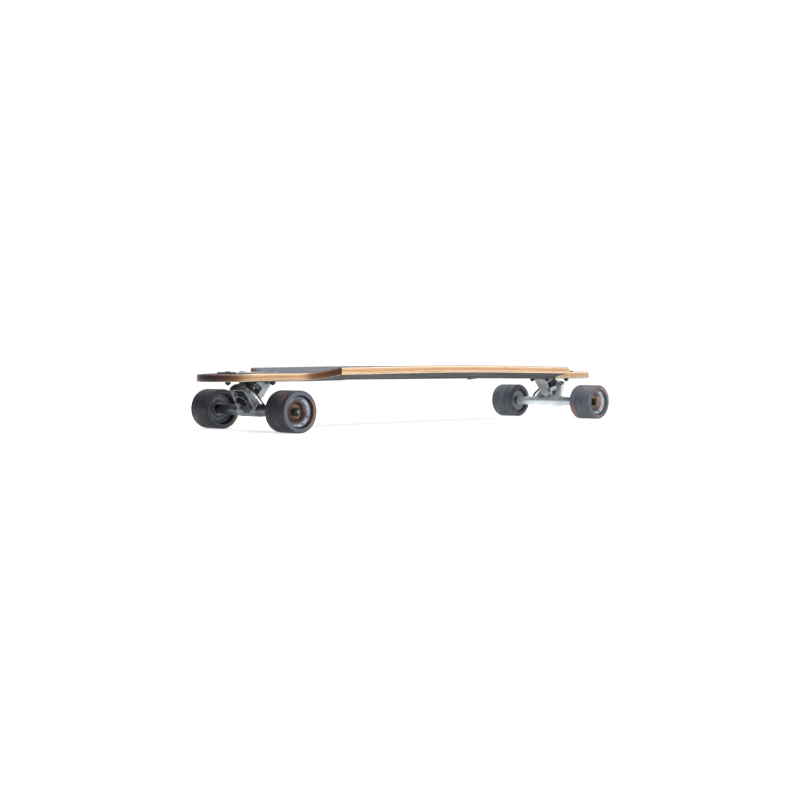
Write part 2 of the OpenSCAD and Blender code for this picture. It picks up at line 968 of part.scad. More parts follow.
front_open = front_inner_seat - 1;
rear_open = can_low - 1;

deck();
grip_tape();
battery_cover();
cover_gasket();
cover_screws();
battery_cells();
cell_busbars();
bms_board();
controller();
button_bezel();
power_button();
status_lens();
charge_socket();
charge_cap();
cap_pin();
motor_cable();
baseplate();  // front_baseplate
mount_bolts();  // front_mount_bolts
mount_nuts();  // front_mount_nuts
kingpin();  // front_kingpin
kingpin_nut();  // front_kingpin_nut
washers();  // front_washers
bushing_board();  // front_bushing_board
bushing_road();  // front_bushing_road
pivot_cup();  // front_pivot_cup
hanger(front_tube_half, false);  // front_hanger
axle();  // front_axle
axle_washers(front_tube_half, front_inner_seat);  // front_axle_washers
axle_nuts();  // front_axle_nuts
rear() baseplate();  // rear_baseplate
rear() mount_bolts();  // rear_mount_bolts
rear() mount_nuts();  // rear_mount_nuts
rear() kingpin();  // rear_kingpin
rear() kingpin_nut();  // rear_kingpin_nut
rear() washers();  // rear_washers
rear() bushing_board();  // rear_bushing_board
rear() bushing_road();  // rear_bushing_road
rear() pivot_cup();  // rear_pivot_cup
rear() hanger(rear_tube_half, true);  // rear_hanger
rear() axle();  // rear_axle
rear() axle_washers(rear_tube_half, rear_inner_seat);  // rear_axle_washers
rear() axle_nuts();  // rear_axle_nuts
wheel_place(1, 1) tyre_shape(front_open);  // front_left_tyre
wheel_place(1, 1) front_core();  // front_left_core
wheel_place(1, 1) bearings(front_inner_seat);  // front_left_bearings
wheel_place(1, -1) tyre_shape(front_open);  // front_right_tyre
wheel_place(1, -1) front_core();  // front_right_core
wheel_place(1, -1) bearings(front_inner_seat);  // front_right_bearings
wheel_place(-1, 1) tyre_shape(rear_open);  // rear_left_tyre
wheel_place(-1, 1) motor_can();  // rear_left_motor_can
wheel_place(-1, 1) magnets();  // rear_left_magnets
wheel_place(-1, 1) stator();  // rear_left_stator
wheel_place(-1, 1) bearings(rear_inner_seat);  // rear_left_bearings
wheel_place(-1, -1) tyre_shape(rear_open);  // rear_right_tyre
wheel_place(-1, -1) motor_can();  // rear_right_motor_can
wheel_place(-1, -1) magnets();  // rear_right_magnets
wheel_place(-1, -1) stator();  // rear_right_stator
wheel_place(-1, -1) bearings(rear_inner_seat);  // rear_right_bearings
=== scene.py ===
import json
import math
import bmesh
import bpy
from mathutils import Matrix, Vector, geometry


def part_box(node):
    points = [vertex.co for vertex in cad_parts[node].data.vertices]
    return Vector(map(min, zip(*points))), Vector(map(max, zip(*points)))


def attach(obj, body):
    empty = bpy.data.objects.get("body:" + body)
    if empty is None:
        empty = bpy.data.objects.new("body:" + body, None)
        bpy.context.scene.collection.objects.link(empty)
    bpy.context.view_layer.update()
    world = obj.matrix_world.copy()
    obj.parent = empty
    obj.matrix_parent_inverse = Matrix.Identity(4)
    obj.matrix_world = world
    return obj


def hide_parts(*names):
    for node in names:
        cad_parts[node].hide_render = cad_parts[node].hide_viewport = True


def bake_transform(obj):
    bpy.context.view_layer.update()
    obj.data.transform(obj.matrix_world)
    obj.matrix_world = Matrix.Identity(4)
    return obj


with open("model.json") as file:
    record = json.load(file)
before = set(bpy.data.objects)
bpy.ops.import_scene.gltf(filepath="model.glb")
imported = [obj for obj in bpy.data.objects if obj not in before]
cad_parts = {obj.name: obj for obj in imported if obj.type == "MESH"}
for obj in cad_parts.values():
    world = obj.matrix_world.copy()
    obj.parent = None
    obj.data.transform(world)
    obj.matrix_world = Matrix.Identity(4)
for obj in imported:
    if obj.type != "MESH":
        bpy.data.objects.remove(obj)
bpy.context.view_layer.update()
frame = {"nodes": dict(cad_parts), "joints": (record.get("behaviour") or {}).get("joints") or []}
nodes = frame["nodes"]
MM = 0.001

# ---------- sizes, in millimetres
# The deck's surface follows the same rules as its CAD solid.
deck_low, deck_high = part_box("deck")
DECK_HALF = deck_high.x / MM
RAIL_HW = deck_high.y / MM
NECK_HW = 70.0
TIP_LEN = 74.0
RAIL_X = 300.0
CUT_LEN = 46.0
CUT_END = RAIL_X + CUT_LEN
DECK_T = 12.0
NECK_Z = deck_low.z / MM
CAMBER = 3.2
CONCAVE = 11.2
FLAT_HW = 56.0
CONCAVE_POWER = 1.15
BELLY_T = 4.0
BELLY_X = (235.0, 290.0)
BELLY_Y = (62.0, 96.0)
SLOTS = ((356.0, 440.0, 16.0), (378.0, 411.0, 25.0))
COVER_GAP = 0.3
TAPE_T = 0.8
TAPE_INSET = 1.0

axle_low, axle_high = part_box("front_axle")
AXLE_R = (axle_high.z - axle_low.z) / 2
STEER_ANGLE = math.asin(frame["joints"][0]["axis"][2])
RING = Vector(frame["joints"][0]["pos_m"])
ENDS = {"front": 1, "rear": -1}
SIDES = {"left": 1, "right": -1}


# ---------- camera, floor and light
def place_camera():
    """Low view of the board's left side, from ahead of the nose."""
    place = Vector((1.5464, 1.6197, 0.1029))
    yaw, pitch, roll = (math.radians(a) for a in (-132.795, -1.490, -0.155))
    ahead = Vector((math.cos(pitch) * math.cos(yaw), math.cos(pitch) * math.sin(yaw),
                    math.sin(pitch)))
    level = ahead.cross(Vector((0, 0, 1))).normalized()
    above = level.cross(ahead)
    right = level * math.cos(roll) + above * math.sin(roll)
    up = above * math.cos(roll) - level * math.sin(roll)
    data = bpy.data.cameras.new("camera")
    data.sensor_width = 36.0
    data.lens = 52.09
    data.clip_end = 60.0
    camera = bpy.data.objects.new("camera", data)
    bpy.context.scene.collection.objects.link(camera)
    camera.matrix_world = Matrix((
        (right.x, up.x, -ahead.x, place.x),
        (right.y, up.y, -ahead.y, place.y),
        (right.z, up.z, -ahead.z, place.z),
        (0, 0, 0, 1)))
    bpy.context.scene.camera = camera


def area_light(name, place, target, size, power, colour=(1, 1, 1)):
    data = bpy.data.lights.new(name, "AREA")
    data.shape = "RECTANGLE"
    data.size, data.size_y = size
    data.energy = power
    data.color = colour
    lamp = bpy.data.objects.new(name, data)
    lamp.location = place
    lamp.rotation_euler = (Vector(target) - Vector(place)).to_track_quat("-Z", "Y").to_euler()
    bpy.context.scene.collection.objects.link(lamp)


def build_world():
    """Studio sky: a white backdrop, with less light from the nose's side."""
    world = bpy.data.worlds.new("world")
    world.use_nodes = True
    tree = world.node_tree
    coords = tree.nodes.new("ShaderNodeTexCoord")
    split = tree.nodes.new("ShaderNodeSeparateXYZ")
    ramp = tree.nodes.new("ShaderNodeValToRGB")
    shift = tree.nodes.new("ShaderNodeMapRange")
    shift.inputs["From Min"].default_value = -1
    shift.inputs["From Max"].default_value = 1
    stops = ((0.0, (1.05, 1.05, 1.05)), (0.42, (1.0, 1.0, 1.02)), (0.66, (0.30, 0.31, 0.36)),
             (1.0, (0.10, 0.10, 0.13)))
    elements = ramp.color_ramp.elements
    while len(elements) < len(stops):
        elements.new(0.5)
    for element, (place, rgb) in zip(elements, stops):
        element.position = place
        element.color = (*rgb, 1)
    tree.links.new(coords.outputs["Generated"], split.inputs["Vector"])
    tree.links.new(split.outputs["X"], shift.inputs["Value"])
    tree.links.new(shift.outputs["Result"], ramp.inputs["Fac"])
    backdrop = tree.nodes.new("ShaderNodeBackground")
    backdrop.inputs["Color"].default_value = (1.0, 1.0, 1.0, 1)
    backdrop.inputs["Strength"].default_value = 1.05
    choose = tree.nodes.new("ShaderNodeMixShader")
    rays = tree.nodes.new("ShaderNodeLightPath")
    sky = tree.nodes["Background"]
    tree.links.new(ramp.outputs["Color"], sky.inputs["Color"])
    tree.links.new(rays.outputs["Is Camera Ray"], choose.inputs[0])
    tree.links.new(sky.outputs[0], choose.inputs[1])
    tree.links.new(backdrop.outputs[0], choose.inputs[2])
    tree.links.new(choose.outputs[0], tree.nodes["World Output"].inputs["Surface"])
    scene = bpy.context.scene
    scene.world = world
    scene.view_settings.view_transform = "Standard"


def build_stage():
    mesh = bpy.data.meshes.new("floor")
    half = 1.9
    mesh.from_pydata([(-half, -half, 0), (half, -half, 0), (half, half, 0), (-half, half, 0)], [],
                     [(0, 1, 2, 3)])
    floor = bpy.data.objects.new("floor", mesh)
    bpy.context.scene.collection.objects.link(floor)
    mat = bpy.data.materials.new("floor_white")
    mat.use_nodes = True
    shader = mat.node_tree.nodes["Principled BSDF"]
    shader.inputs["Base Color"].default_value = (0.92, 0.92, 0.92, 1)
    shader.inputs["Roughness"].default_value = 0.9
    shader.inputs["Emission Color"].default_value = (1.0, 1.0, 1.0, 1)
    shader.inputs["Emission Strength"].default_value = 0.6
    mesh.materials.append(mat)
    build_world()
    area_light("key", (0.25, 1.75, 1.1), (-0.15, 0, 0.06), (1.1, 0.8), 34, (1.0, 0.97, 0.92))
    area_light("top", (0.0, -0.5, 2.2), (0, -0.1, 0.05), (2.6, 1.4), 34, (0.90, 0.95, 1.0))


# ---------- materials
class Shader:
    """A Principled material with short helpers for procedural detail."""

    def __init__(self, name, colour, roughness, metallic=0.0, **sockets):
        self.mat = bpy.data.materials.new(name)
        self.mat.use_nodes = True
        self.tree = self.mat.node_tree
        self.bsdf = self.tree.nodes["Principled BSDF"]
        self.bsdf.inputs["Base Color"].default_value = (*colour, 1)
        self.bsdf.inputs["Roughness"].default_value = roughness
        self.bsdf.inputs["Metallic"].default_value = metallic
        for key, value in sockets.items():
            self.bsdf.inputs[key.replace("_", " ")].default_value = value
        self.coords = self.tree.nodes.new("ShaderNodeTexCoord").outputs["Object"]

    def link(self, a, b):
        self.tree.links.new(a, b)

    def scaled(self, scale):
        node = self.tree.nodes.new("ShaderNodeMapping")
        node.inputs["Scale"].default_value = scale
        self.link(self.coords, node.inputs["Vector"])
        return node.outputs["Vector"]

    def noise(self, scale, detail=4.0, stretch=(1, 1, 1), distortion=0.0, rough=0.55):
        node = self.tree.nodes.new("ShaderNodeTexNoise")
        node.inputs["Scale"].default_value = scale
        node.inputs["Detail"].default_value = detail
        node.inputs["Roughness"].default_value = rough
        node.inputs["Distortion"].default_value = distortion
        self.link(self.scaled(stretch), node.inputs["Vector"])
        return node.outputs["Fac"]

    def cells(self, scale):
        node = self.tree.nodes.new("ShaderNodeTexVoronoi")
        node.inputs["Scale"].default_value = scale
        self.link(self.coords, node.inputs["Vector"])
        return node.outputs["Distance"]

    def attribute(self, name):
        node = self.tree.nodes.new("ShaderNodeAttribute")
        node.attribute_name = name
        return node.outputs["Fac"]

    def facing(self, axis):
        """How far the surface faces along an axis of the object, either way."""
        node = self.tree.nodes.new("ShaderNodeNewGeometry")
        split = self.tree.nodes.new("ShaderNodeSeparateXYZ")
        self.link(node.outputs["Normal"], split.inputs["Vector"])
        return self.math("ABSOLUTE", split.outputs[axis], 0.0)

    def along(self, axis, start, end):
        """0 at one place along an axis of the object and 1 at another, in metres."""
        split = self.tree.nodes.new("ShaderNodeSeparateXYZ")
        self.link(self.coords, split.inputs["Vector"])
        shifted = self.math("SUBTRACT", split.outputs[axis], start)
        return self.math("DIVIDE", shifted, end - start)

    def across(self, axis):
        """0 at the low side of the piece's own box and 1 at its high side."""
        split = self.tree.nodes.new("ShaderNodeSeparateXYZ")
        node = self.tree.nodes.new("ShaderNodeTexCoord")
        self.link(node.outputs["Generated"], split.inputs["Vector"])
        return split.outputs[axis]

    def ramp(self, fac, stops, constant=False):
        node = self.tree.nodes.new("ShaderNodeValToRGB")
        node.color_ramp.interpolation = "CONSTANT" if constant else "LINEAR"
        elements = node.color_ramp.elements
        while len(elements) < len(stops):
            elements.new(0.5)
        for element, (place, value) in zip(elements, stops):
            element.position = place
            rgb = value if isinstance(value, tuple) else (value, value, value)
            element.color = (*rgb, 1)
        self.link(fac, node.inputs["Fac"])
        return node.outputs["Color"]

    def mix(self, fac, a, b, mode="MIX"):
        node = self.tree.nodes.new("ShaderNodeMix")
        node.data_type = "RGBA"
        node.blend_type = mode
        for socket, value in ((node.inputs[0], fac), (node.inputs[6], a), (node.inputs[7], b)):
            if isinstance(value, tuple):
                socket.default_value = (*value, 1)
            elif isinstance(value, (int, float)):
                socket.default_value = value
            else:
                self.link(value, socket)
        return node.outputs[2]

    def math(self, mode, a, b):
        node = self.tree.nodes.new("ShaderNodeMath")
        node.operation = mode
        for socket, value in zip(node.inputs, (a, b)):
            if isinstance(value, (int, float)):
                socket.default_value = value
            else:
                self.link(value, socket)
        return node.outputs[0]

    def colour(self, source):
        self.link(source, self.bsdf.inputs["Base Color"])
        return self

    def rough(self, source):
        self.link(source, self.bsdf.inputs["Roughness"])
        return self

    def bump(self, height, strength, distance):
        node = self.tree.nodes.new("ShaderNodeBump")
        node.inputs["Strength"].default_value = strength
        node.inputs["Distance"].default_value = distance
        self.link(height, node.inputs["Height"])
        previous = self.bsdf.inputs["Normal"].links
        if previous:
            self.link(previous[0].from_socket, node.inputs["Normal"])
        self.link(node.outputs["Normal"], self.bsdf.inputs["Normal"])
        return self


def ply_material():
    """Pale outer plies, warm inner ones, dark glue lines, and painted shade on faces turned along X,
    darkest at the nose.
    """
    s = Shader("deck_plies", (0.5, 0.33, 0.2), 0.42, Coat_Weight=0.06, Coat_Roughness=0.3,
               Specular_IOR_Level=0.3)
    pale_low, pale_high = (0.50, 0.39, 0.26), (0.74, 0.56, 0.38)
    warm, deep, glue = (0.50, 0.31, 0.165), (0.40, 0.235, 0.12), (0.13, 0.062, 0.028)
    plies = s.ramp(s.attribute("ply"), [
        (0.0, pale_low), (0.15, glue), (0.19, warm), (0.38, glue), (0.42, deep), (0.60, glue),
        (0.64, warm), (0.79, glue), (0.83, pale_high)], constant=True)
    streaks = s.ramp(s.noise(9.0, 5.0, (4, 4, 160), 0.4), [(0.30, 0.72), (0.62, 1.12)])
    pores = s.ramp(s.noise(70.0, 3.0, (1, 1, 14)), [(0.36, 0.66), (0.46, 1.0)])
    tone = s.mix(1.0, plies, streaks, "MULTIPLY")
    tone = s.mix(0.7, tone, pores, "MULTIPLY")
    # Painted shade: faces turned along X, such as the cut-out walls and the ends, are darkened in
    # the colour.
    x_facing_shade = s.ramp(s.facing("X"), [(0.25, (1.0, 1.0, 1.0)), (0.6, (0.40, 0.28, 0.22)),
                                       (1.0, (0.24, 0.15, 0.12))])
    # Painted shade: the nose's end, facing along X, is darkened further towards a dark purple.
    near_nose = s.ramp(s.along("X", 0.40, 0.42), [(0.0, 0.0), (1.0, 1.0)])
    nose = s.ramp(s.math("MULTIPLY", s.facing("X"), near_nose),
                  [(0.45, (1.0, 1.0, 1.0)), (0.8, (0.36, 0.30, 0.36)), (1.0, (0.16, 0.13, 0.22))])
    s.colour(s.mix(1.0, s.mix(1.0, tone, x_facing_shade, "MULTIPLY"), nose, "MULTIPLY"))
    s.rough(s.ramp(s.noise(60.0, 4.0), [(0.3, 0.34), (0.7, 0.55)]))
    return s.bump(s.noise(30.0, 4.0, (3, 3, 60)), 0.25, 0.0004).mat


def paint_material():
    s = Shader("underside_paint", (0.02, 0.022, 0.026), 0.6, Specular_IOR_Level=0.15)
    s.colour(s.ramp(s.noise(7.0, 6.0, (0.6, 2.0, 1)), [(0.32, (0.010, 0.011, 0.014)),
                                                       (0.7, (0.024, 0.026, 0.032))]))
    s.rough(s.ramp(s.noise(28.0, 5.0, (0.5, 2.5, 1)), [(0.3, 0.48), (0.7, 0.70)]))
    return s.bump(s.noise(60.0, 4.0, (0.4, 6, 1)), 0.12, 0.0002).mat


def grip_material():
    """Blue-grey abrasive sheet: sharp grains with painted pale glints, and a little dust."""
    s = Shader("grip_sheet", (0.10, 0.115, 0.14), 0.82, Specular_IOR_Level=0.4)
    grains = s.cells(1500.0)
    dust = s.noise(10.0, 6.0, (1, 1.4, 1))
    # Painted highlight: the colour is paler towards each grain's centre, as glints.
    base = s.ramp(grains, [(0.1, (0.20, 0.225, 0.265)), (0.55, (0.075, 0.085, 0.105))])
    s.colour(s.mix(s.ramp(dust, [(0.45, 0.0), (0.75, 0.35)]), base, (0.22, 0.22, 0.23)))
    s.rough(s.ramp(s.noise(900.0, 2.0), [(0.35, 0.62), (0.65, 0.95)]))
    return s.bump(grains, 0.8, 0.0004).mat


def cast_material(name, dirt, clean, metallic):
    """Tumbled cast aluminium with a fine skin and grey dirt where it hardly shines."""
    s = Shader(name, clean, 0.3, metallic)
    grime = s.ramp(s.noise(26.0, 6.0, distortion=0.3), [(0.35, dirt), (0.62, clean)])
    s.colour(grime)
    s.rough(s.ramp(s.noise(45.0, 5.0), [(0.3, 0.24), (0.7, 0.40)]))
    s.bump(s.noise(900.0, 3.0), 0.22, 0.0002)
    return s.bump(s.noise(140.0, 3.0), 0.10, 0.0004).mat


def steel_material(name="zinc_steel", colour=(0.52, 0.52, 0.53), rough=0.3):
    s = Shader(name, colour, rough, 1.0)
    stains = s.noise(160.0, 4.0)
    s.colour(s.mix(s.ramp(stains, [(0.4, 0.0), (0.7, 0.5)]), colour,
                   tuple(c * 0.55 for c in colour)))
    s.rough(s.ramp(s.noise(320.0, 4.0), [(0.3, rough * 0.7), (0.7, rough * 1.6)]))
    return s.bump(s.noise(1400.0, 2.0), 0.1, 0.0001).mat


def black_steel_material():
    s = Shader("black_oxide", (0.018, 0.018, 0.02), 0.42, 0.6)
    s.colour(s.ramp(s.noise(220.0, 4.0), [(0.45, (0.012, 0.012, 0.014)),
                                          (0.75, (0.06, 0.055, 0.05))]))
    s.rough(s.ramp(s.noise(300.0, 3.0), [(0.3, 0.3), (0.7, 0.55)]))
    return s.bump(s.noise(1200.0, 2.0), 0.12, 0.0001).mat


def urethane_material(name, base, dusty, rust_and_reflection, face, shine):
    """Ridden urethane: satin, with dust, painted light on the faces, rubbed streaks, and rusty
    smudges with a painted warm reflection.
    """
    s = Shader(name, base, 0.5, Specular_IOR_Level=shine)
    dust = s.ramp(s.noise(34.0, 7.0, (1, 2.4, 1), 0.3), [(0.36, 0.0), (0.74, 0.6)])
    on_face = s.ramp(s.facing("Y"), [(0.75, 0.0), (0.97, 0.8)])
    # Towards -X on the faces the smudges gather more, a painted warm reflection; the noise alone
    # gives rust-coloured stains.
    reflection_lean = s.math("MULTIPLY", s.math("SUBTRACT", 0.55, s.across("X")), 0.34)
    stain_and_reflection = s.math("ADD", s.noise(15.0, 4.0, (1.2, 1, 1), 1.2), s.math("MULTIPLY", reflection_lean, on_face))
    smudge_and_reflection = s.ramp(stain_and_reflection, [(0.56, 0.0), (0.69, 0.6)])
    tone = s.mix(dust, base, dusty)
    # Painted light: faces turned along Y take the face tone, lighter than the tread on the front
    # wheels, as if lit from the side.
    tone = s.mix(on_face, tone, face)
    s.colour(s.mix(smudge_and_reflection, tone, rust_and_reflection))
    s.rough(s.ramp(s.noise(60.0, 5.0, (1, 3, 1)), [(0.3, 0.40), (0.7, 0.68)]))
    s.bump(s.noise(420.0, 4.0, (1, 3, 1)), 0.18, 0.0002)
    return s.bump(s.noise(60.0, 3.0), 0.08, 0.0006).mat


def plastic_material(name, dark, light, rough, grain=900.0, strength=0.2):
    s = Shader(name, dark, rough)
    s.colour(s.ramp(s.noise(40.0, 5.0), [(0.35, dark), (0.75, light)]))
    s.rough(s.ramp(s.noise(180.0, 3.0), [(0.3, rough * 0.8), (0.7, min(1, rough * 1.25))]))
    return s.bump(s.noise(grain, 3.0), strength, 0.00015).mat


def bronze_material(name, dark, light):
    """Anodised bronze, turned, so fine rings run round it."""
    s = Shader(name, dark, 0.34, 0.8)
    s.colour(s.ramp(s.noise(90.0, 4.0), [(0.3, dark), (0.7, light)]))
    s.rough(s.ramp(s.noise(260.0, 3.0), [(0.3, 0.26), (0.7, 0.44)]))
    return s.bump(s.noise(500.0, 2.0, (1, 6, 1)), 0.15, 0.0001).mat


MATS = {
    "ply": ply_material(),
    "paint": paint_material(),
    "grip": grip_material(),
    # Painted shade: the front truck's casting, urethane and bronze are darker copies of the rear's,
    # for the dimmer light at the front.
    "cast_front": cast_material("cast_alloy_front", (0.075, 0.08, 0.09), (0.21, 0.225, 0.245), 0.9),
    "cast_rear": cast_material("cast_alloy_rear", (0.56, 0.61, 0.62), (0.80, 0.86, 0.86), 0.6),
    # Painted shade: the baseplates' casting is a darker copy of the alloy, for the shade under the
    # deck.
    "cast_plate": cast_material("cast_alloy_plate", (0.19, 0.20, 0.21), (0.36, 0.38, 0.39), 0.9),
    "steel": steel_material(),
    # Painted shade: a darker copy of the steel, for the axles, bearings, kingpins and washers that
    # sit in shade.
    "dark_steel": steel_material("steel_painted_shade", (0.17, 0.16, 0.16), 0.36),
    "shield": steel_material("bearing_shield", (0.15, 0.12, 0.10), 0.3),
    "magnet": steel_material("nickel_plate", (0.62, 0.60, 0.56), 0.2),
    "copper": steel_material("copper_wire", (0.62, 0.30, 0.16), 0.34),
    "foil": steel_material("pouch_foil", (0.60, 0.62, 0.66), 0.4),
    "black": black_steel_material(),
    "tyre_front": urethane_material("urethane_front", (0.012, 0.011, 0.015),
                                    (0.034, 0.036, 0.046), (0.17, 0.082, 0.05),
                                    (0.075, 0.086, 0.105), 0.2),
    "tyre_rear": urethane_material("urethane_rear", (0.050, 0.056, 0.070),
                                   (0.125, 0.15, 0.185), (0.29, 0.145, 0.10),
                                   (0.055, 0.055, 0.064), 0.4),
    "core": plastic_material("core_grey", (0.085, 0.095, 0.115), (0.17, 0.185, 0.215), 0.36),
    "print": plastic_material("core_print", (0.20, 0.23, 0.28), (0.44, 0.49, 0.56), 0.4),
    "bronze_front": bronze_material("bronze_front", (0.045, 0.034, 0.030), (0.17, 0.105, 0.075)),
    "bronze_rear": bronze_material("bronze_rear", (0.10, 0.065, 0.055), (0.30, 0.19, 0.15)),
    "rubber": plastic_material("black_rubber", (0.010, 0.010, 0.011), (0.03, 0.03, 0.032), 0.62),
    "bushing": plastic_material("bushing_urethane", (0.012, 0.012, 0.014), (0.03, 0.03, 0.034),
                                0.36),
    "cover": plastic_material("cover_plastic", (0.014, 0.015, 0.018), (0.034, 0.036, 0.042), 0.5,
                              1600.0, 0.5),
    "pcb": plastic_material("solder_mask", (0.01, 0.10, 0.035), (0.02, 0.19, 0.07), 0.3),
    "lens": plastic_material("milky_lens", (0.62, 0.66, 0.70), (0.78, 0.80, 0.84), 0.25),
}


# ---------- mesh helpers
def make_object(name, bm, mats, body, replaced=(), sharp=math.radians(32)):
    """An object in metres from a bmesh: smooth faces, edges kept sharp where they turn a lot.

    Without a body the piece is left free.
    """
    bmesh.ops.recalc_face_normals(bm, faces=bm.faces)
    for face in bm.faces:
        face.smooth = True
    for edge in bm.edges:
        edge.smooth = len(edge.link_faces) == 2 and edge.calc_face_angle(0) < sharp
    mesh = bpy.data.meshes.new(name)
    bm.to_mesh(mesh)
    bm.free()
    for mat in mats:
        mesh.materials.append(MATS[mat])
    obj = bpy.data.objects.new(name, mesh)
    bpy.context.scene.collection.objects.link(obj)
    if body:
        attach(obj, body)
    if replaced:
        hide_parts(*replaced)
    return obj


def arc_points(centre, radius, start, end, steps):
    """Points on an arc, angles in degrees from +first towards +second."""
    turns = [math.radians(start + (end - start) * i / steps) for i in range(steps + 1)]
    return [(centre[0] + radius * math.cos(a), centre[1] + radius * math.sin(a)) for a in turns]


def lathe_into(bm, profile, place, mat=0, segments=96, closed=True):
    """Turns (radius, height) points in millimetres round a local axis, which place maps to the row.

    A third item, "hex", makes that ring a hexagon whose flats lie at the radius.
    """
    rings = []
    for i in range(segments):
        a = 2 * math.pi * i / segments
        to_flat = a % (math.pi / 3) - math.pi / 6
        ring = []
        for r, h, *shape in profile:
            reach = r / math.cos(to_flat) if shape else r
            ring.append(bm.verts.new(place @ Vector((reach * math.cos(a) * MM,
                                                     reach * math.sin(a) * MM, h * MM))))
        rings.append(ring)
    count = len(profile)
    for i in range(segments):
        a, b = rings[i], rings[(i + 1) % segments]
        for k in range(count if closed else count - 1):
            n = (k + 1) % count
            quad = [a[k], a[n], b[n], b[k]]
            if profile[k][0] < 1e-6:
                quad.remove(b[k])
            if profile[n][0] < 1e-6:
                quad.remove(b[n])
            if len(quad) >= 3:
                bm.faces.new(quad).material_index = mat


def lathe(name, profile, place, mats, body, replaced=(), segments=96, closed=True):
    bm = bmesh.new()
    lathe_into(bm, profile, place, 0, segments, closed)
    bmesh.ops.remove_doubles(bm, verts=bm.verts, dist=1e-7)
    return make_object(name, bm, mats, body, replaced)


def wheel_frame(end, side):
    """Local +Z points outwards along the axle, from the wheel's middle."""
    low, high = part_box(f"{end}_{side}_tyre")
    middle = (low + high) / 2
    turn = Matrix.Rotation(math.radians(-90 * SIDES[side]), 4, "X")
    return Matrix.Translation(middle) @ turn


def steer_frame(end):
    """Local X runs up the steering axis and local Z up the kingpin, as for the CAD truck."""
    centre = Vector((RING.x, 0, RING.z))
    turn = Matrix.Rotation(-STEER_ANGLE, 4, "Y")
    place = Matrix.Translation(centre) @ turn
    if ENDS[end] < 0:
        place = Matrix.Scale(-1, 4, (1, 0, 0)) @ place
    return place


def nut_profile(flat, height, bore, collar=True):
    """Section of a hexagonal nut: chamfered corners, a bore, and a round nylon collar on top."""
    edge = min(0.16 * height, 1.1)
    body_top = height * (0.84 if collar else 1)
    points = [(bore, 0.4), (bore + 0.4, 0), (flat * 1.01, 0), (flat, edge, "hex"),
              (flat, body_top - edge, "hex"), (flat * 1.01, body_top)]
    if collar:
        points += [(flat * 0.84, body_top), (flat * 0.84, height * 0.95), (flat * 0.78, height)]
    return points + [(bore + 0.4, height), (bore, height - 0.4)]


def thread_profile(r, start, end, pitch=1.25, depth=0.55):
    """Grooves of a screw thread as rings, from start to end."""
    count = int((end - start) / pitch)
    points = []
    for i in range(count):
        h = start + i * pitch
        points += [(r, h), (r, h + pitch * 0.2), (r - depth, h + pitch * 0.6)]
    return points


# ---------- deck and grip sheet
def smooth(v):
    v = min(1.0, max(0.0, v))
    return v * v * (3 - 2 * v)


def under_z(x, y):
    rise = max(0.0, (abs(y) - FLAT_HW) / (RAIL_HW - FLAT_HW))
    arch = CAMBER * max(0.0, 1 - (x / CUT_END) ** 2) ** 2
    return NECK_Z + arch + CONCAVE * rise ** CONCAVE_POWER


def over_z(x, y):
    along = 1 - smooth((abs(x) - BELLY_X[0]) / (BELLY_X[1] - BELLY_X[0]))
    across = 1 - smooth((abs(y) - BELLY_Y[0]) / (BELLY_Y[1] - BELLY_Y[0]))
    return under_z(x, y) + DECK_T + BELLY_T * along * across


def deck_outline():
    """Anticlockwise outline from the nose tip, with round ends, wheel cut-outs and rails."""
    tip_x = DECK_HALF - TIP_LEN
    steps = 30
    quarter = [(tip_x + TIP_LEN * math.cos(math.pi / 2 * i / steps),
                NECK_HW * math.sin(math.pi / 2 * i / steps)) for i in range(steps + 1)]
    neck = 6
    quarter += [(tip_x + (CUT_END - tip_x) * i / neck, NECK_HW) for i in range(1, neck)]
    quarter += [(CUT_END - CUT_LEN * math.sin(math.pi / 2 * i / steps),
                 RAIL_HW - (RAIL_HW - NECK_HW) * math.cos(math.pi / 2 * i / steps))
                for i in range(steps + 1)]
    rail = 25
    quarter += [(RAIL_X * (1 - i / rail), RAIL_HW) for i in range(1, rail + 1)]
    half = quarter + [(-x, y) for x, y in reversed(quarter[:-1])]
    return half + [(x, -y) for x, y in reversed(half[1:-1])]


def shrink(outline, inset):
    """The outline moved inwards by inset, with mitred corners."""
    count = len(outline)
    moved = []
    for i, (x, y) in enumerate(outline):
        before, after = outline[i - 1], outline[(i + 1) % count]
        a = Vector((x - before[0], y - before[1])).normalized()
        b = Vector((after[0] - x, after[1] - y)).normalized()
        na, nb = Vector((-a.y, a.x)), Vector((-b.y, b.x))
        m = (na + nb) / (1 + na.dot(nb))
        moved.append((x + m.x * inset, y + m.y * inset))
    return moved


def round_rect(x0, x1, half, r, steps=6):
    """Anticlockwise rectangle with round corners, centred on y = 0."""
    points = []
    for cx, cy, a in ((x1 - r, half - r, 0), (x0 + r, half - r, 90), (x0 + r, -half + r, 180),
                      (x1 - r, -half + r, 270)):
        points += arc_points((cx, cy), r, a, a + 90, steps)
    return points


def slot_outline(end):
    """Drop-through opening: a long slot with a wider middle."""
    (x0, x1, narrow), (m0, m1, wide) = SLOTS
    r = 4.0
    side = [(x1, 0)] + arc_points((x1 - r, narrow - r), r, 0, 90, 4)
    side += arc_points((m1 + 2, narrow + 2), 2, 270, 180, 3)
    side += arc_points((m1 - r, wide - r), r, 0, 90, 4)
    side += arc_points((m0 + r, wide - r), r, 90, 180, 4)
    side += arc_points((m0 - 2, narrow + 2), 2, 0, -90, 3)
    side += arc_points((x0 + r, narrow - r), r, 90, 180, 4) + [(x0, 0)]
    whole = side + [(x, -y) for x, y in reversed(side[1:-1])]
    if end < 0:
        whole = [(-x, y) for x, y in reversed(whole)]
    return whole


def inside(point, outline):
    x, y = point
    hit = False
    for (ax, ay), (bx, by) in zip(outline, outline[1:] + outline[:1]):
        if (ay > y) != (by > y) and x < (bx - ax) * (y - ay) / (by - ay) + ax:
            hit = not hit
    return hit


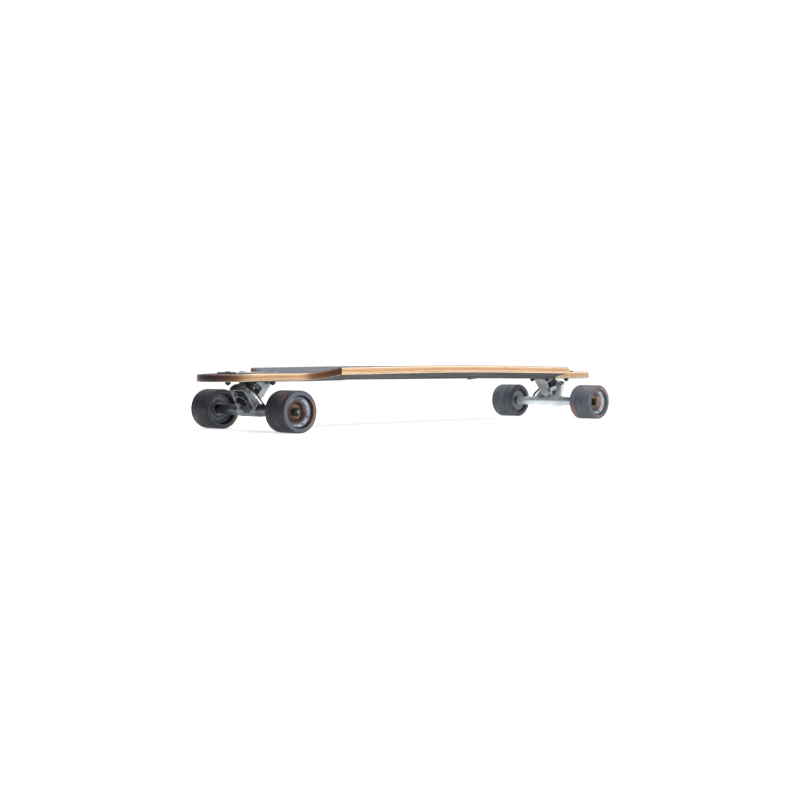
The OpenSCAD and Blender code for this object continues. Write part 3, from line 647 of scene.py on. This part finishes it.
def fill_into(bm, outline, holes, height, step, mat, margin=2.0):
    """Triangles between an outline and its holes, at the height that a function gives."""
    coords, edges = [], []
    for loop in [outline] + holes:
        first = len(coords)
        coords += [Vector(p) for p in loop]
        edges += [(first + i, first + (i + 1) % len(loop)) for i in range(len(loop))]
    safe = shrink(outline, margin)
    blocked = [shrink(h, -margin) for h in holes]
    xs = [p[0] for p in outline]
    ys = [p[1] for p in outline]
    x = min(xs) + step / 2
    while x < max(xs):
        y = min(ys) + step / 2
        while y < max(ys):
            if inside((x, y), safe) and not any(inside((x, y), b) for b in blocked):
                coords.append(Vector((x, y)))
            y += step
        x += step
    found = geometry.delaunay_2d_cdt(coords, edges, [], 1, 1e-5)
    verts = [bm.verts.new((v.x * MM, v.y * MM, height(v.x, v.y) * MM)) for v in found[0]]
    for tri in found[2]:
        middle = sum((found[0][i] for i in tri), Vector((0, 0))) / 3
        if not any(inside(middle, h) for h in holes):
            bm.faces.new([verts[i] for i in tri]).material_index = mat


def wall_into(bm, lower, upper, mat):
    """Quads between two equal loops of 3-D points in millimetres."""
    low = [bm.verts.new(Vector(p) * MM) for p in lower]
    high = [bm.verts.new(Vector(p) * MM) for p in upper]
    for i in range(len(low)):
        n = (i + 1) % len(low)
        bm.faces.new([low[i], low[n], high[n], high[i]]).material_index = mat


def rounded_rim(outline, height, radius, sign, steps=3):
    """Loops from the wall to the face: each is inset and dropped along a quarter circle."""
    loops = []
    for i in range(steps + 1):
        a = math.pi / 2 * i / steps
        inset, drop = radius * (1 - math.cos(a)), radius * (1 - math.sin(a))
        ring = shrink(outline, inset) if inset else outline
        loops.append([(x, y, height(x, y) - sign * drop) for x, y in ring])
    return loops


def loops_into(bm, loops, mat):
    for lower, upper in zip(loops, loops[1:]):
        wall_into(bm, lower, upper, mat)


def mark_plies(obj):
    """Stores how high each point is in the wood, from 0 at the underside to 1 at the top."""
    layer = obj.data.attributes.new("ply", "FLOAT", "POINT")
    for v in obj.data.vertices:
        x, y, z = v.co / MM
        low, high = under_z(x, y), over_z(x, y)
        layer.data[v.index].value = min(1.0, max(0.0, (z - low) / (high - low)))


def build_deck():
    """Laminated deck with rounded edges, both truck openings and the bay for the battery."""
    outline = deck_outline()
    slots = [slot_outline(1), slot_outline(-1)]
    cover_low, cover_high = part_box("battery_cover")
    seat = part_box("cover_gasket")[1].z / MM
    rebate = round_rect(cover_low.x / MM - COVER_GAP, cover_high.x / MM + COVER_GAP,
                        cover_high.y / MM + COVER_GAP, 10)
    edge_r = 1.6
    bm = bmesh.new()
    top = rounded_rim(outline, over_z, edge_r, 1)
    low = rounded_rim(outline, under_z, edge_r, -1)
    loops_into(bm, top, 0)
    loops_into(bm, low, 0)
    wall_into(bm, low[0], top[0], 0)
    fill_into(bm, [p[:2] for p in top[-1]], slots, over_z, 9.0, 2)
    fill_into(bm, [p[:2] for p in low[-1]], slots + [rebate], under_z, 9.0, 1)
    for hole in slots:
        wall_into(bm, [(x, y, under_z(x, y)) for x, y in hole],
                  [(x, y, over_z(x, y)) for x, y in hole], 0)
    wall_into(bm, [(x, y, under_z(x, y)) for x, y in rebate], [(x, y, seat) for x, y in rebate], 1)
    fill_into(bm, rebate, [], lambda x, y: seat, 40.0, 1)
    bmesh.ops.remove_doubles(bm, verts=bm.verts, dist=2e-6)
    deck = make_object("deck_laminate", bm, ["ply", "paint", "ply"], "deck", ["deck"])
    mark_plies(deck)


def build_grip():
    """Grip sheet, cut back from the rails and round the truck plates."""
    outline = shrink(deck_outline(), TAPE_INSET)
    plates = []
    for end in ("front", "rear"):
        low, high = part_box(f"{end}_baseplate")
        plates.append(round_rect(low.x / MM - 1.5, high.x / MM + 1.5, high.y / MM + 1.5, 9))
    bm = bmesh.new()
    top = rounded_rim(outline, lambda x, y: over_z(x, y) + TAPE_T, 0.4, 1, 2)
    loops_into(bm, top, 0)
    wall_into(bm, [(x, y, over_z(x, y)) for x, y in outline], top[0], 0)
    fill_into(bm, [p[:2] for p in top[-1]], plates, lambda x, y: over_z(x, y) + TAPE_T, 9.0, 0)
    fill_into(bm, outline, plates, over_z, 30.0, 0)
    for hole in plates:
        wall_into(bm, [(x, y, over_z(x, y)) for x, y in hole],
                  [(x, y, over_z(x, y) + TAPE_T) for x, y in hole], 0)
    bmesh.ops.remove_doubles(bm, verts=bm.verts, dist=2e-6)
    grip = make_object("grip_sheet", bm, ["grip"], "deck", ["grip_tape"])


# ---------- castings
# A web's corners (x, z): in the steering frame at its top, from the axle at its root.
WEB_TOP = ((1, -1), (12, -5))
WEB_ROOT = ((-3, 4), (6, 1))
WEB_TOP_Y = (17.0, 19.5)
WEB_ROOT_Y = (22.0, 25.0)
CAST_VOXEL = 0.8


def arm_webs(bm, end):
    """Adds a thin web between the two ribs of each hanger arm."""
    place = steer_frame(end)
    low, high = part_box(f"{end}_axle")
    axle = (low + high) / 2
    sign = ENDS[end]
    for side in (1, -1):
        corners = []
        for y in WEB_TOP_Y:
            for x, z in WEB_TOP:
                corners.append(place @ (Vector((x, side * y, z)) * MM))
        for y in WEB_ROOT_Y:
            for x, z in WEB_ROOT:
                corners.append(axle + Vector((sign * x, side * y, z)) * MM)
        verts = [bm.verts.new(c) for c in corners]
        bmesh.ops.convex_hull(bm, input=verts)


def casting(name, node, body, rounds, tone):
    """The CAD solid as a casting: remeshed evenly, then softened by rounds of smoothing."""
    bm = bmesh.new()
    bm.from_mesh(nodes[node].data)
    if node.endswith("_hanger"):
        arm_webs(bm, node.split("_")[0])
    mesh = bpy.data.meshes.new("remesh_source")
    bm.to_mesh(mesh)
    bm.free()
    temp = bpy.data.objects.new("remesh_source", mesh)
    bpy.context.scene.collection.objects.link(temp)
    remesh = temp.modifiers.new("remesh", "REMESH")
    remesh.mode = "VOXEL"
    remesh.voxel_size = CAST_VOXEL * MM
    depsgraph = bpy.context.evaluated_depsgraph_get()
    mesh = bpy.data.meshes.new_from_object(temp.evaluated_get(depsgraph))
    bpy.data.objects.remove(temp)
    bm = bmesh.new()
    bm.from_mesh(mesh)
    for _ in range(rounds):
        bmesh.ops.smooth_vert(bm, verts=bm.verts, factor=0.5, use_axis_x=True, use_axis_y=True,
                              use_axis_z=True)
    obj = make_object(name, bm, [tone], body, [node], sharp=math.radians(55))


# ---------- wheels
def tyre_profile(half, radius, bore_low, bore_high, core_r):
    """Section of the urethane: round shoulders, a flat lip and a coned recess on both faces."""
    lip = 27.3
    shoulder = 3.0
    points = [(core_r, bore_low), (lip - 1.6, -half + 3.4), (lip - 0.5, -half + 0.5),
              (lip, -half)]
    points += arc_points((radius - shoulder, -half + shoulder), shoulder, -90, 0, 7)
    points += arc_points((radius - shoulder, half - shoulder), shoulder, 0, 90, 7)
    points += [(lip, half), (lip - 0.5, half - 0.5), (lip - 1.3, half - 5.2),
               (core_r, bore_high)]
    return points


def build_tyre(end, side):
    place = wheel_frame(end, side)
    low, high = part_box(f"{end}_{side}_tyre")
    half, radius = (high.y - low.y) / 2 / MM, (high.z - low.z) / 2 / MM
    bore_low = -15.0 if end == "front" else -19.0
    profile = tyre_profile(half, radius, bore_low, half - 7.5, 25.5)
    if end == "rear":
        seam = -half * 0.42
        cut = next(i for i, p in enumerate(profile) if p[1] > seam and p[0] == radius)
        groove = [(radius, seam - 0.7), (radius - 0.9, seam - 0.25), (radius - 0.9, seam + 0.25),
                  (radius, seam + 0.7)]
        profile = profile[:cut] + groove + profile[cut:]
    tyre = lathe(f"{end}_{side}_tyre_detail", profile, place, [f"tyre_{end}"],
                 f"{end}_{side}_wheel", [f"{end}_{side}_tyre"], 160)


def build_core(end, side):
    """Grey ring with a groove inside it, and the turned bronze bowl round the bearing."""
    place = wheel_frame(end, side)
    body = f"{end}_{side}_wheel"
    ring = [(25.5, 18.4), (25.2, 19.6), (24.8, 20.0), (24.4, 20.0), (24.0, 19.7), (20.2, 15.0),
            (19.8, 14.6), (19.0, 14.5), (18.6, 14.9), (18.4, 16.6)]
    middle = [(18.4, 12.0), (11.1, 9.0), (11.1, 3.0)]
    if end == "front":
        back = [(8.5, 3.0), (8.5, -7.0), (11.1, -7.0), (11.1, -14.0), (12.8, -14.0),
                (14.0, -12.5), (15.5, -11.0), (21.6, -11.0), (22.6, -12.5), (23.0, -14.0),
                (25.5, -14.0)]
    else:
        back = [(9.0, 3.0), (9.0, 2.0), (21.6, 2.0), (21.6, -14.0), (9.0, -14.0), (9.0, -15.0),
                (11.1, -15.0), (11.1, -22.0), (21.2, -22.0), (21.6, -21.6), (21.6, -18.0),
                (25.5, -18.0)]
    core = lathe(f"{end}_{side}_core_ring", ring + middle + back, place, ["core"], body,
                 [f"{end}_{side}_core" if end == "front" else f"{end}_{side}_motor_can"], 128)
    bowl = [(18.4, 16.6), (18.0, 17.3), (17.5, 17.6), (16.9, 17.5), (16.4, 17.0), (14.6, 14.2),
            (13.4, 12.6), (12.4, 11.5), (12.0, 11.0), (11.4, 10.8), (10.6, 10.7), (10.2, 10.5),
            (10.2, 10.2), (11.1, 10.0), (11.1, 9.0), (18.4, 12.0)]
    lathe(f"{end}_{side}_bowl", bowl, place, [f"bronze_{end}"], body, (), 128)


def build_print(end, side):
    """Pale blocks printed on the core's cone: plain bars of different lengths."""
    place = wheel_frame(end, side)
    bm = bmesh.new()
    bars = [(163, 204), (206, 243), (124, 151), (86, 112), (70, 83), (292, 324), (328, 339)]
    for start, end_angle in bars:
        steps = max(3, int((end_angle - start) / 3))
        section = [(20.75, 15.55), (20.65, 15.65), (23.75, 19.50), (23.85, 19.40)]
        rings = []
        for i in range(steps + 1):
            a = math.radians(start + (end_angle - start) * i / steps)
            rings.append([bm.verts.new(place @ Vector((r * math.cos(a) * MM, r * math.sin(a) * MM,
                                                       h * MM))) for r, h in section])
        for p, q in zip(rings, rings[1:]):
            for k in range(4):
                n = (k + 1) % 4
                bm.faces.new([p[k], p[n], q[n], q[k]])
        bm.faces.new(rings[0])
        bm.faces.new(rings[-1][::-1])
    make_object(f"{end}_{side}_core_print", bm, ["print"], f"{end}_{side}_wheel")


def build_bearings(end, side):
    """Both bearings: steel rings with a dished shield between them."""
    place = wheel_frame(end, side)
    inner = -14.0 if end == "front" else -22.0
    bm = bmesh.new()
    for seat in (inner, 3.0):
        ring = [(11, seat + 0.4), (11, seat + 6.6), (10.7, seat + 7), (9.5, seat + 7),
                (9.3, seat + 6.8), (9.3, seat + 6.3), (9.3, seat + 0.7), (9.3, seat + 0.2),
                (9.5, seat), (10.7, seat)]
        hub = [(4.03, seat + 0.3), (4.3, seat), (6.2, seat), (6.4, seat + 0.2), (6.4, seat + 6.8),
               (6.2, seat + 7), (4.3, seat + 7), (4.03, seat + 6.7)]
        shield = [(6.4, seat + 0.5), (9.3, seat + 0.5), (9.3, seat + 6.35), (9.0, seat + 6.6),
                  (8.2, seat + 6.5), (7.6, seat + 6.35), (6.6, seat + 6.45), (6.4, seat + 6.3)]
        lathe_into(bm, ring, place, 0, 72)
        lathe_into(bm, hub, place, 0, 72)
        lathe_into(bm, shield, place, 1, 72)
    piece = make_object(f"{end}_{side}_bearing_pair", bm, ["dark_steel", "shield"],
                        f"{end}_{side}_wheel", [f"{end}_{side}_bearings"])


def build_axle(end):
    """Axle with threaded, chamfered ends, and its two locknuts."""
    low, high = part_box(f"{end}_axle")
    half = high.y / MM
    centre = Vector(((low.x + high.x) / 2, 0, (low.z + high.z) / 2))
    place = Matrix.Translation(centre) @ Matrix.Rotation(math.radians(-90), 4, "X")
    r = AXLE_R / MM
    top = thread_profile(r, half - 12, half - 1.2)
    profile = ([(0, -half), (r - 0.9, -half)] + [(a, -h) for a, h in reversed(top)] + top
               + [(r - 0.9, half), (0, half)])
    rod = lathe(f"{end}_axle_rod", profile, place, ["dark_steel"], f"{end}_truck",
                [f"{end}_axle"], 48, False)
    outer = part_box(f"{end}_axle_nuts")[1].y / MM
    bm = bmesh.new()
    for side in SIDES.values():
        turn = Matrix.Rotation(math.radians(-90 * side), 4, "X")
        seat = outer - 7.0
        local = (Matrix.Translation(centre + Vector((0, side * seat * MM, 0))) @ turn
                 @ Matrix.Rotation(0.4, 4, "Z"))
        lathe_into(bm, nut_profile(6.3, 7.0, r + 0.03), local, 0, 48)
    nuts = make_object(f"{end}_locknuts", bm, ["black"], f"{end}_truck", [f"{end}_axle_nuts"])


# ---------- fasteners and bushings
def node_pieces(node):
    """Centres, in millimetres, of the separate solids in a CAD node, from its loose parts."""
    bm = bmesh.new()
    bm.from_mesh(nodes[node].data)
    bmesh.ops.remove_doubles(bm, verts=bm.verts, dist=1e-6)
    seen, found = set(), []
    for start in bm.verts:
        if start in seen:
            continue
        group, queue = [], [start]
        seen.add(start)
        while queue:
            v = queue.pop()
            group.append(v.co.copy())
            for edge in v.link_edges:
                other = edge.other_vert(v)
                if other not in seen:
                    seen.add(other)
                    queue.append(other)
        low = Vector([min(c[k] for c in group) for k in range(3)])
        high = Vector([max(c[k] for c in group) for k in range(3)])
        found.append((low / MM, high / MM))
    bm.free()
    return found


def build_truck_bolts(end):
    """Countersunk socket bolts through plate and deck, with flanged locknuts."""
    bm = bmesh.new()
    for low, high in node_pieces(f"{end}_mount_bolts"):
        x, y = (low.x + high.x) / 2, (low.y + high.y) / 2
        top, head, shank = high.z, (high.x - low.x) / 2, 2.4
        thread = [(r, low.z + h) for r, h in thread_profile(shank, 0.8, 12.0, 0.9, 0.35)]
        profile = [(0, low.z), (shank - 0.5, low.z)] + thread
        profile += [(shank, top - 2.6), (head - 1.0, top - 2.6), (head, top - 1.5),
                    (head, top - 0.6), (head - 0.5, top - 0.05), (head - 1.2, top),
                    (2.3, top), (2.0, top - 0.3, "hex"), (2.0, top - 1.6, "hex"), (0, top - 1.8)]
        lathe_into(bm, profile, Matrix.Translation((x * MM, y * MM, 0)), 0, 48, False)
    bmesh.ops.remove_doubles(bm, verts=bm.verts, dist=1e-7)
    bolts = make_object(f"{end}_plate_bolts", bm, ["black"], "deck", [f"{end}_mount_bolts"])
    bm = bmesh.new()
    for low, high in node_pieces(f"{end}_mount_nuts"):
        x, y, flat = (low.x + high.x) / 2, (low.y + high.y) / 2, 4.5
        h = low.z
        top = high.z
        profile = [(2.42, h + 0.3), (2.8, h), (3.5, h), (3.7, h + 0.3), (3.7, h + 0.9),
                   (flat * 1.01, h + 0.9), (flat, h + 1.5, "hex"), (flat, top - 1.1, "hex"),
                   (5.3, top - 0.9), (5.6, top - 0.5), (5.6, top), (2.42, top)]
        lathe_into(bm, profile, Matrix.Translation((x * MM, y * MM, 0)), 0, 48)
    nuts = make_object(f"{end}_flange_nuts", bm, ["black"], "deck", [f"{end}_mount_nuts"])


BUSH_SEAT = 19.0
RING_HALF = 5.0
ROAD_END = -16.5
KINGPIN_R = 4.76
KINGPIN_HEAD = 31.0
KINGPIN_END = -29.2


def build_kingpin(end):
    """Kingpin with its sunk hexagonal head and thread, its locknut and the dished washer."""
    place = steer_frame(end)
    thread = thread_profile(KINGPIN_R, KINGPIN_END + 0.8, ROAD_END - 1.8, 1.1, 0.45)
    profile = [(0, KINGPIN_END), (KINGPIN_R - 0.9, KINGPIN_END)] + thread
    profile += [(KINGPIN_R, ROAD_END), (KINGPIN_R, KINGPIN_HEAD), (6.7, KINGPIN_HEAD),
                (6.75, KINGPIN_HEAD + 0.6, "hex"), (6.75, KINGPIN_HEAD + 3.7, "hex"),
                (6.7, KINGPIN_HEAD + 4.5), (0, KINGPIN_HEAD + 4.5)]
    pin = lathe(f"{end}_kingpin_bolt", profile, place, ["dark_steel"], "deck",
                [f"{end}_kingpin"], 60, False)
    flip = Matrix.Translation((0, 0, (ROAD_END - 1.6) * MM)) @ Matrix.Rotation(math.pi, 4, "X")
    nut = lathe(f"{end}_kingpin_locknut", nut_profile(7.1, 8.0, KINGPIN_R + 0.02), place @ flip,
                ["black"], "deck", [f"{end}_kingpin_nut"], 60)
    dish = [(KINGPIN_R + 0.02, ROAD_END - 1.6), (8.6, ROAD_END - 1.6), (10.4, ROAD_END - 1.1),
            (10.8, ROAD_END - 0.5), (10.8, ROAD_END), (KINGPIN_R + 0.02, ROAD_END)]
    washer = lathe(f"{end}_cup_washer", dish, place, ["dark_steel"], "deck", [f"{end}_washers"],
                   72)


def build_bushings(end):
    """Barrel bushing towards the deck and cone bushing towards the road.

    Their bores widen towards the hanger's ring.
    """
    place = steer_frame(end)
    bore, loose = KINGPIN_R + 0.02, KINGPIN_R + 1.6
    barrel = [(loose, RING_HALF), (9.6, RING_HALF), (10.4, 5.3), (11.2, 6.4), (11.5, 8.0),
              (11.4, 10.6), (10.9, 11.6), (10.7, 12.0), (10.9, 12.4), (11.4, 13.4), (11.5, 16.0),
              (11.2, 17.6), (10.4, 18.7), (9.6, BUSH_SEAT), (bore, BUSH_SEAT)]
    cone = [(bore, ROAD_END), (8.6, ROAD_END), (9.3, ROAD_END + 0.5), (9.6, ROAD_END + 1.5),
            (10.4, -11.0), (11.2, -6.4), (11.2, -5.6), (10.8, -RING_HALF), (loose, -RING_HALF)]
    for shape, node, profile, fixed, moved in (
            ("barrel", "board", barrel, BUSH_SEAT, RING_HALF),
            ("cone", "road", cone, ROAD_END, -RING_HALF)):
        piece = lathe(f"{end}_{shape}_bushing", profile, place, ["bushing"], None,
                      [f"{end}_bushing_{node}"], 72)
        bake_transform(piece)


def softened(name, node, mats, body, width):
    """The CAD solid with its long edges bevelled, so that they catch the light."""
    bm = bmesh.new()
    bm.from_mesh(nodes[node].data)
    bmesh.ops.remove_doubles(bm, verts=bm.verts, dist=1e-6)
    bmesh.ops.dissolve_limit(bm, angle_limit=math.radians(1.0), verts=bm.verts, edges=bm.edges)
    mesh = bpy.data.meshes.new("bevel_source")
    bm.to_mesh(mesh)
    bm.free()
    temp = bpy.data.objects.new("bevel_source", mesh)
    bpy.context.scene.collection.objects.link(temp)
    bevel = temp.modifiers.new("bevel", "BEVEL")
    bevel.width = width * MM
    bevel.segments = 2
    bevel.limit_method = "ANGLE"
    bevel.angle_limit = math.radians(40)
    depsgraph = bpy.context.evaluated_depsgraph_get()
    done = bpy.data.meshes.new_from_object(temp.evaluated_get(depsgraph))
    bpy.data.objects.remove(temp)
    bm = bmesh.new()
    bm.from_mesh(done)
    piece = make_object(name, bm, mats, body, [node], sharp=math.radians(20))


def build_underside():
    """Cover, its screws and controls, each with softened edges."""
    softened("cover_shell", "battery_cover", ["cover"], "deck", 0.6)
    softened("button_ring", "button_bezel", ["steel"], "deck", 0.3)
    softened("button_plunger", "power_button", ["cover"], "power_button", 0.4)
    softened("light_strip", "status_lens", ["lens"], "deck", 0.4)
    softened("charge_port", "charge_socket", ["cover"], "deck", 0.3)
    softened("port_cap", "charge_cap", ["rubber"], "charge_cap", 0.35)
    bm = bmesh.new()
    for low, high in node_pieces("cover_screws"):
        x, y, h = (low.x + high.x) / 2, (low.y + high.y) / 2, low.z
        profile = [(0, h + 1.0), (1.25, h + 0.9, "hex"), (1.25, h + 0.2, "hex"), (1.6, h),
                   (2.3, h + 0.05), (2.75, h + 0.35), (2.9, h + 0.8), (2.9, h + 1.6),
                   (1.4, h + 1.6), (1.4, high.z), (0, high.z)]
        lathe_into(bm, profile, Matrix.Translation((x * MM, y * MM, 0)), 0, 36, False)
    bmesh.ops.remove_doubles(bm, verts=bm.verts, dist=1e-7)
    screws = make_object("cover_socket_screws", bm, ["black"], "deck", ["cover_screws"])


CABLE_R = 1.9
CABLE_ROUTE = (
    (-216, -38, 91.6), (-265, -38, 91.6), (-315, -38, 91.6), (-365, -38, 91.6), (-382, -38, 91.6),
    (-391, -38, 91.4), (-398, -37, 90.5), (-404, -35, 88.0), (-407, -32.5, 84.5),
    (-408, -31, 80.0), (-408, -31, 75.0), (-407.5, -32, 70.0), (-406, -34.5, 65.0),
    (-404, -37.5, 60.0), (-401, -40.5, 55.5), (-397.5, -43, 51.5), (-395, -44.3, 48.0),
    (-394, -44.5, 44.5), (-394, -44.5, 41.8))


def curve_through(points, steps):
    """Points on a smooth curve through the given ones."""
    ends = [points[0] * 2 - points[1]] + points + [points[-1] * 2 - points[-2]]
    curve = []
    for p, q, r, t in zip(ends, ends[1:], ends[2:], ends[3:]):
        for i in range(steps):
            u = i / steps
            curve.append(0.5 * (2 * q + (r - p) * u + (2 * p - 5 * q + 4 * r - t) * u * u
                                + (3 * q - p - 3 * r + t) * u ** 3))
    return curve + [points[-1]]


def build_cable():
    """Motor cable from the controller to the rear hanger."""
    path = curve_through([Vector(p) * MM for p in CABLE_ROUTE], 8)
    sides = 16
    bm = bmesh.new()
    rings = []
    for i, point in enumerate(path):
        ahead = (path[min(i + 1, len(path) - 1)] - path[max(i - 1, 0)]).normalized()
        across = ahead.cross(Vector((0.13, 0.97, 0.2))).normalized()
        up = across.cross(ahead)
        turns = [2 * math.pi * k / sides for k in range(sides)]
        rings.append([bm.verts.new(point + (across * math.cos(a) + up * math.sin(a))
                                   * CABLE_R * MM) for a in turns])
    for low, high in zip(rings, rings[1:]):
        for k in range(sides):
            n = (k + 1) % sides
            bm.faces.new([low[k], low[n], high[n], high[k]])
    bm.faces.new(rings[0][::-1])
    bm.faces.new(rings[-1])
    cable = make_object("motor_cable_sleeve", bm, ["rubber"], None, ["motor_cable"])
    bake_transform(cable)


# ---------- materials of the CAD nodes
def paint_nodes():
    """Materials for every CAD node, kept or hidden."""
    by_word = {
        "deck": "ply", "grip_tape": "grip", "battery_cover": "cover", "cover_gasket": "rubber",
        "cover_screws": "black", "battery_cells": "foil", "cell_busbars": "copper",
        "bms_board": "pcb", "controller": "cast_plate", "button_bezel": "steel",
        "power_button": "cover", "status_lens": "lens", "charge_socket": "cover",
        "charge_cap": "rubber", "cap_pin": "steel", "motor_cable": "rubber",
        "baseplate": "cast_plate", "mount_bolts": "black", "mount_nuts": "black", "kingpin": "steel",
        "kingpin_nut": "black", "washers": "steel", "bushing_board": "bushing",
        "bushing_road": "bushing", "pivot_cup": "bushing", "hanger": "cast_rear", "axle": "steel",
        "axle_washers": "dark_steel", "axle_nuts": "black", "tyre": "tyre_front", "core": "core",
        "bearings": "steel", "motor_can": "bronze_rear", "magnets": "magnet", "stator": "copper"}
    words = sorted(by_word, key=len, reverse=True)
    for name, obj in nodes.items():
        word = next(w for w in words if name == w or name.endswith("_" + w))
        for slot in obj.material_slots:
            slot.material = MATS[by_word[word]]


place_camera()
build_stage()
paint_nodes()
build_deck()
build_grip()
for end in ENDS:
    casting(f"{end}_hanger_casting", f"{end}_hanger", f"{end}_truck", 5, f"cast_{end}")
    casting(f"{end}_baseplate_casting", f"{end}_baseplate", "deck", 3, "cast_plate")
    build_axle(end)
    build_truck_bolts(end)
    build_kingpin(end)
    build_bushings(end)
    for side in SIDES:
        build_tyre(end, side)
        build_core(end, side)
        build_print(end, side)
        build_bearings(end, side)

build_underside()
build_cable()
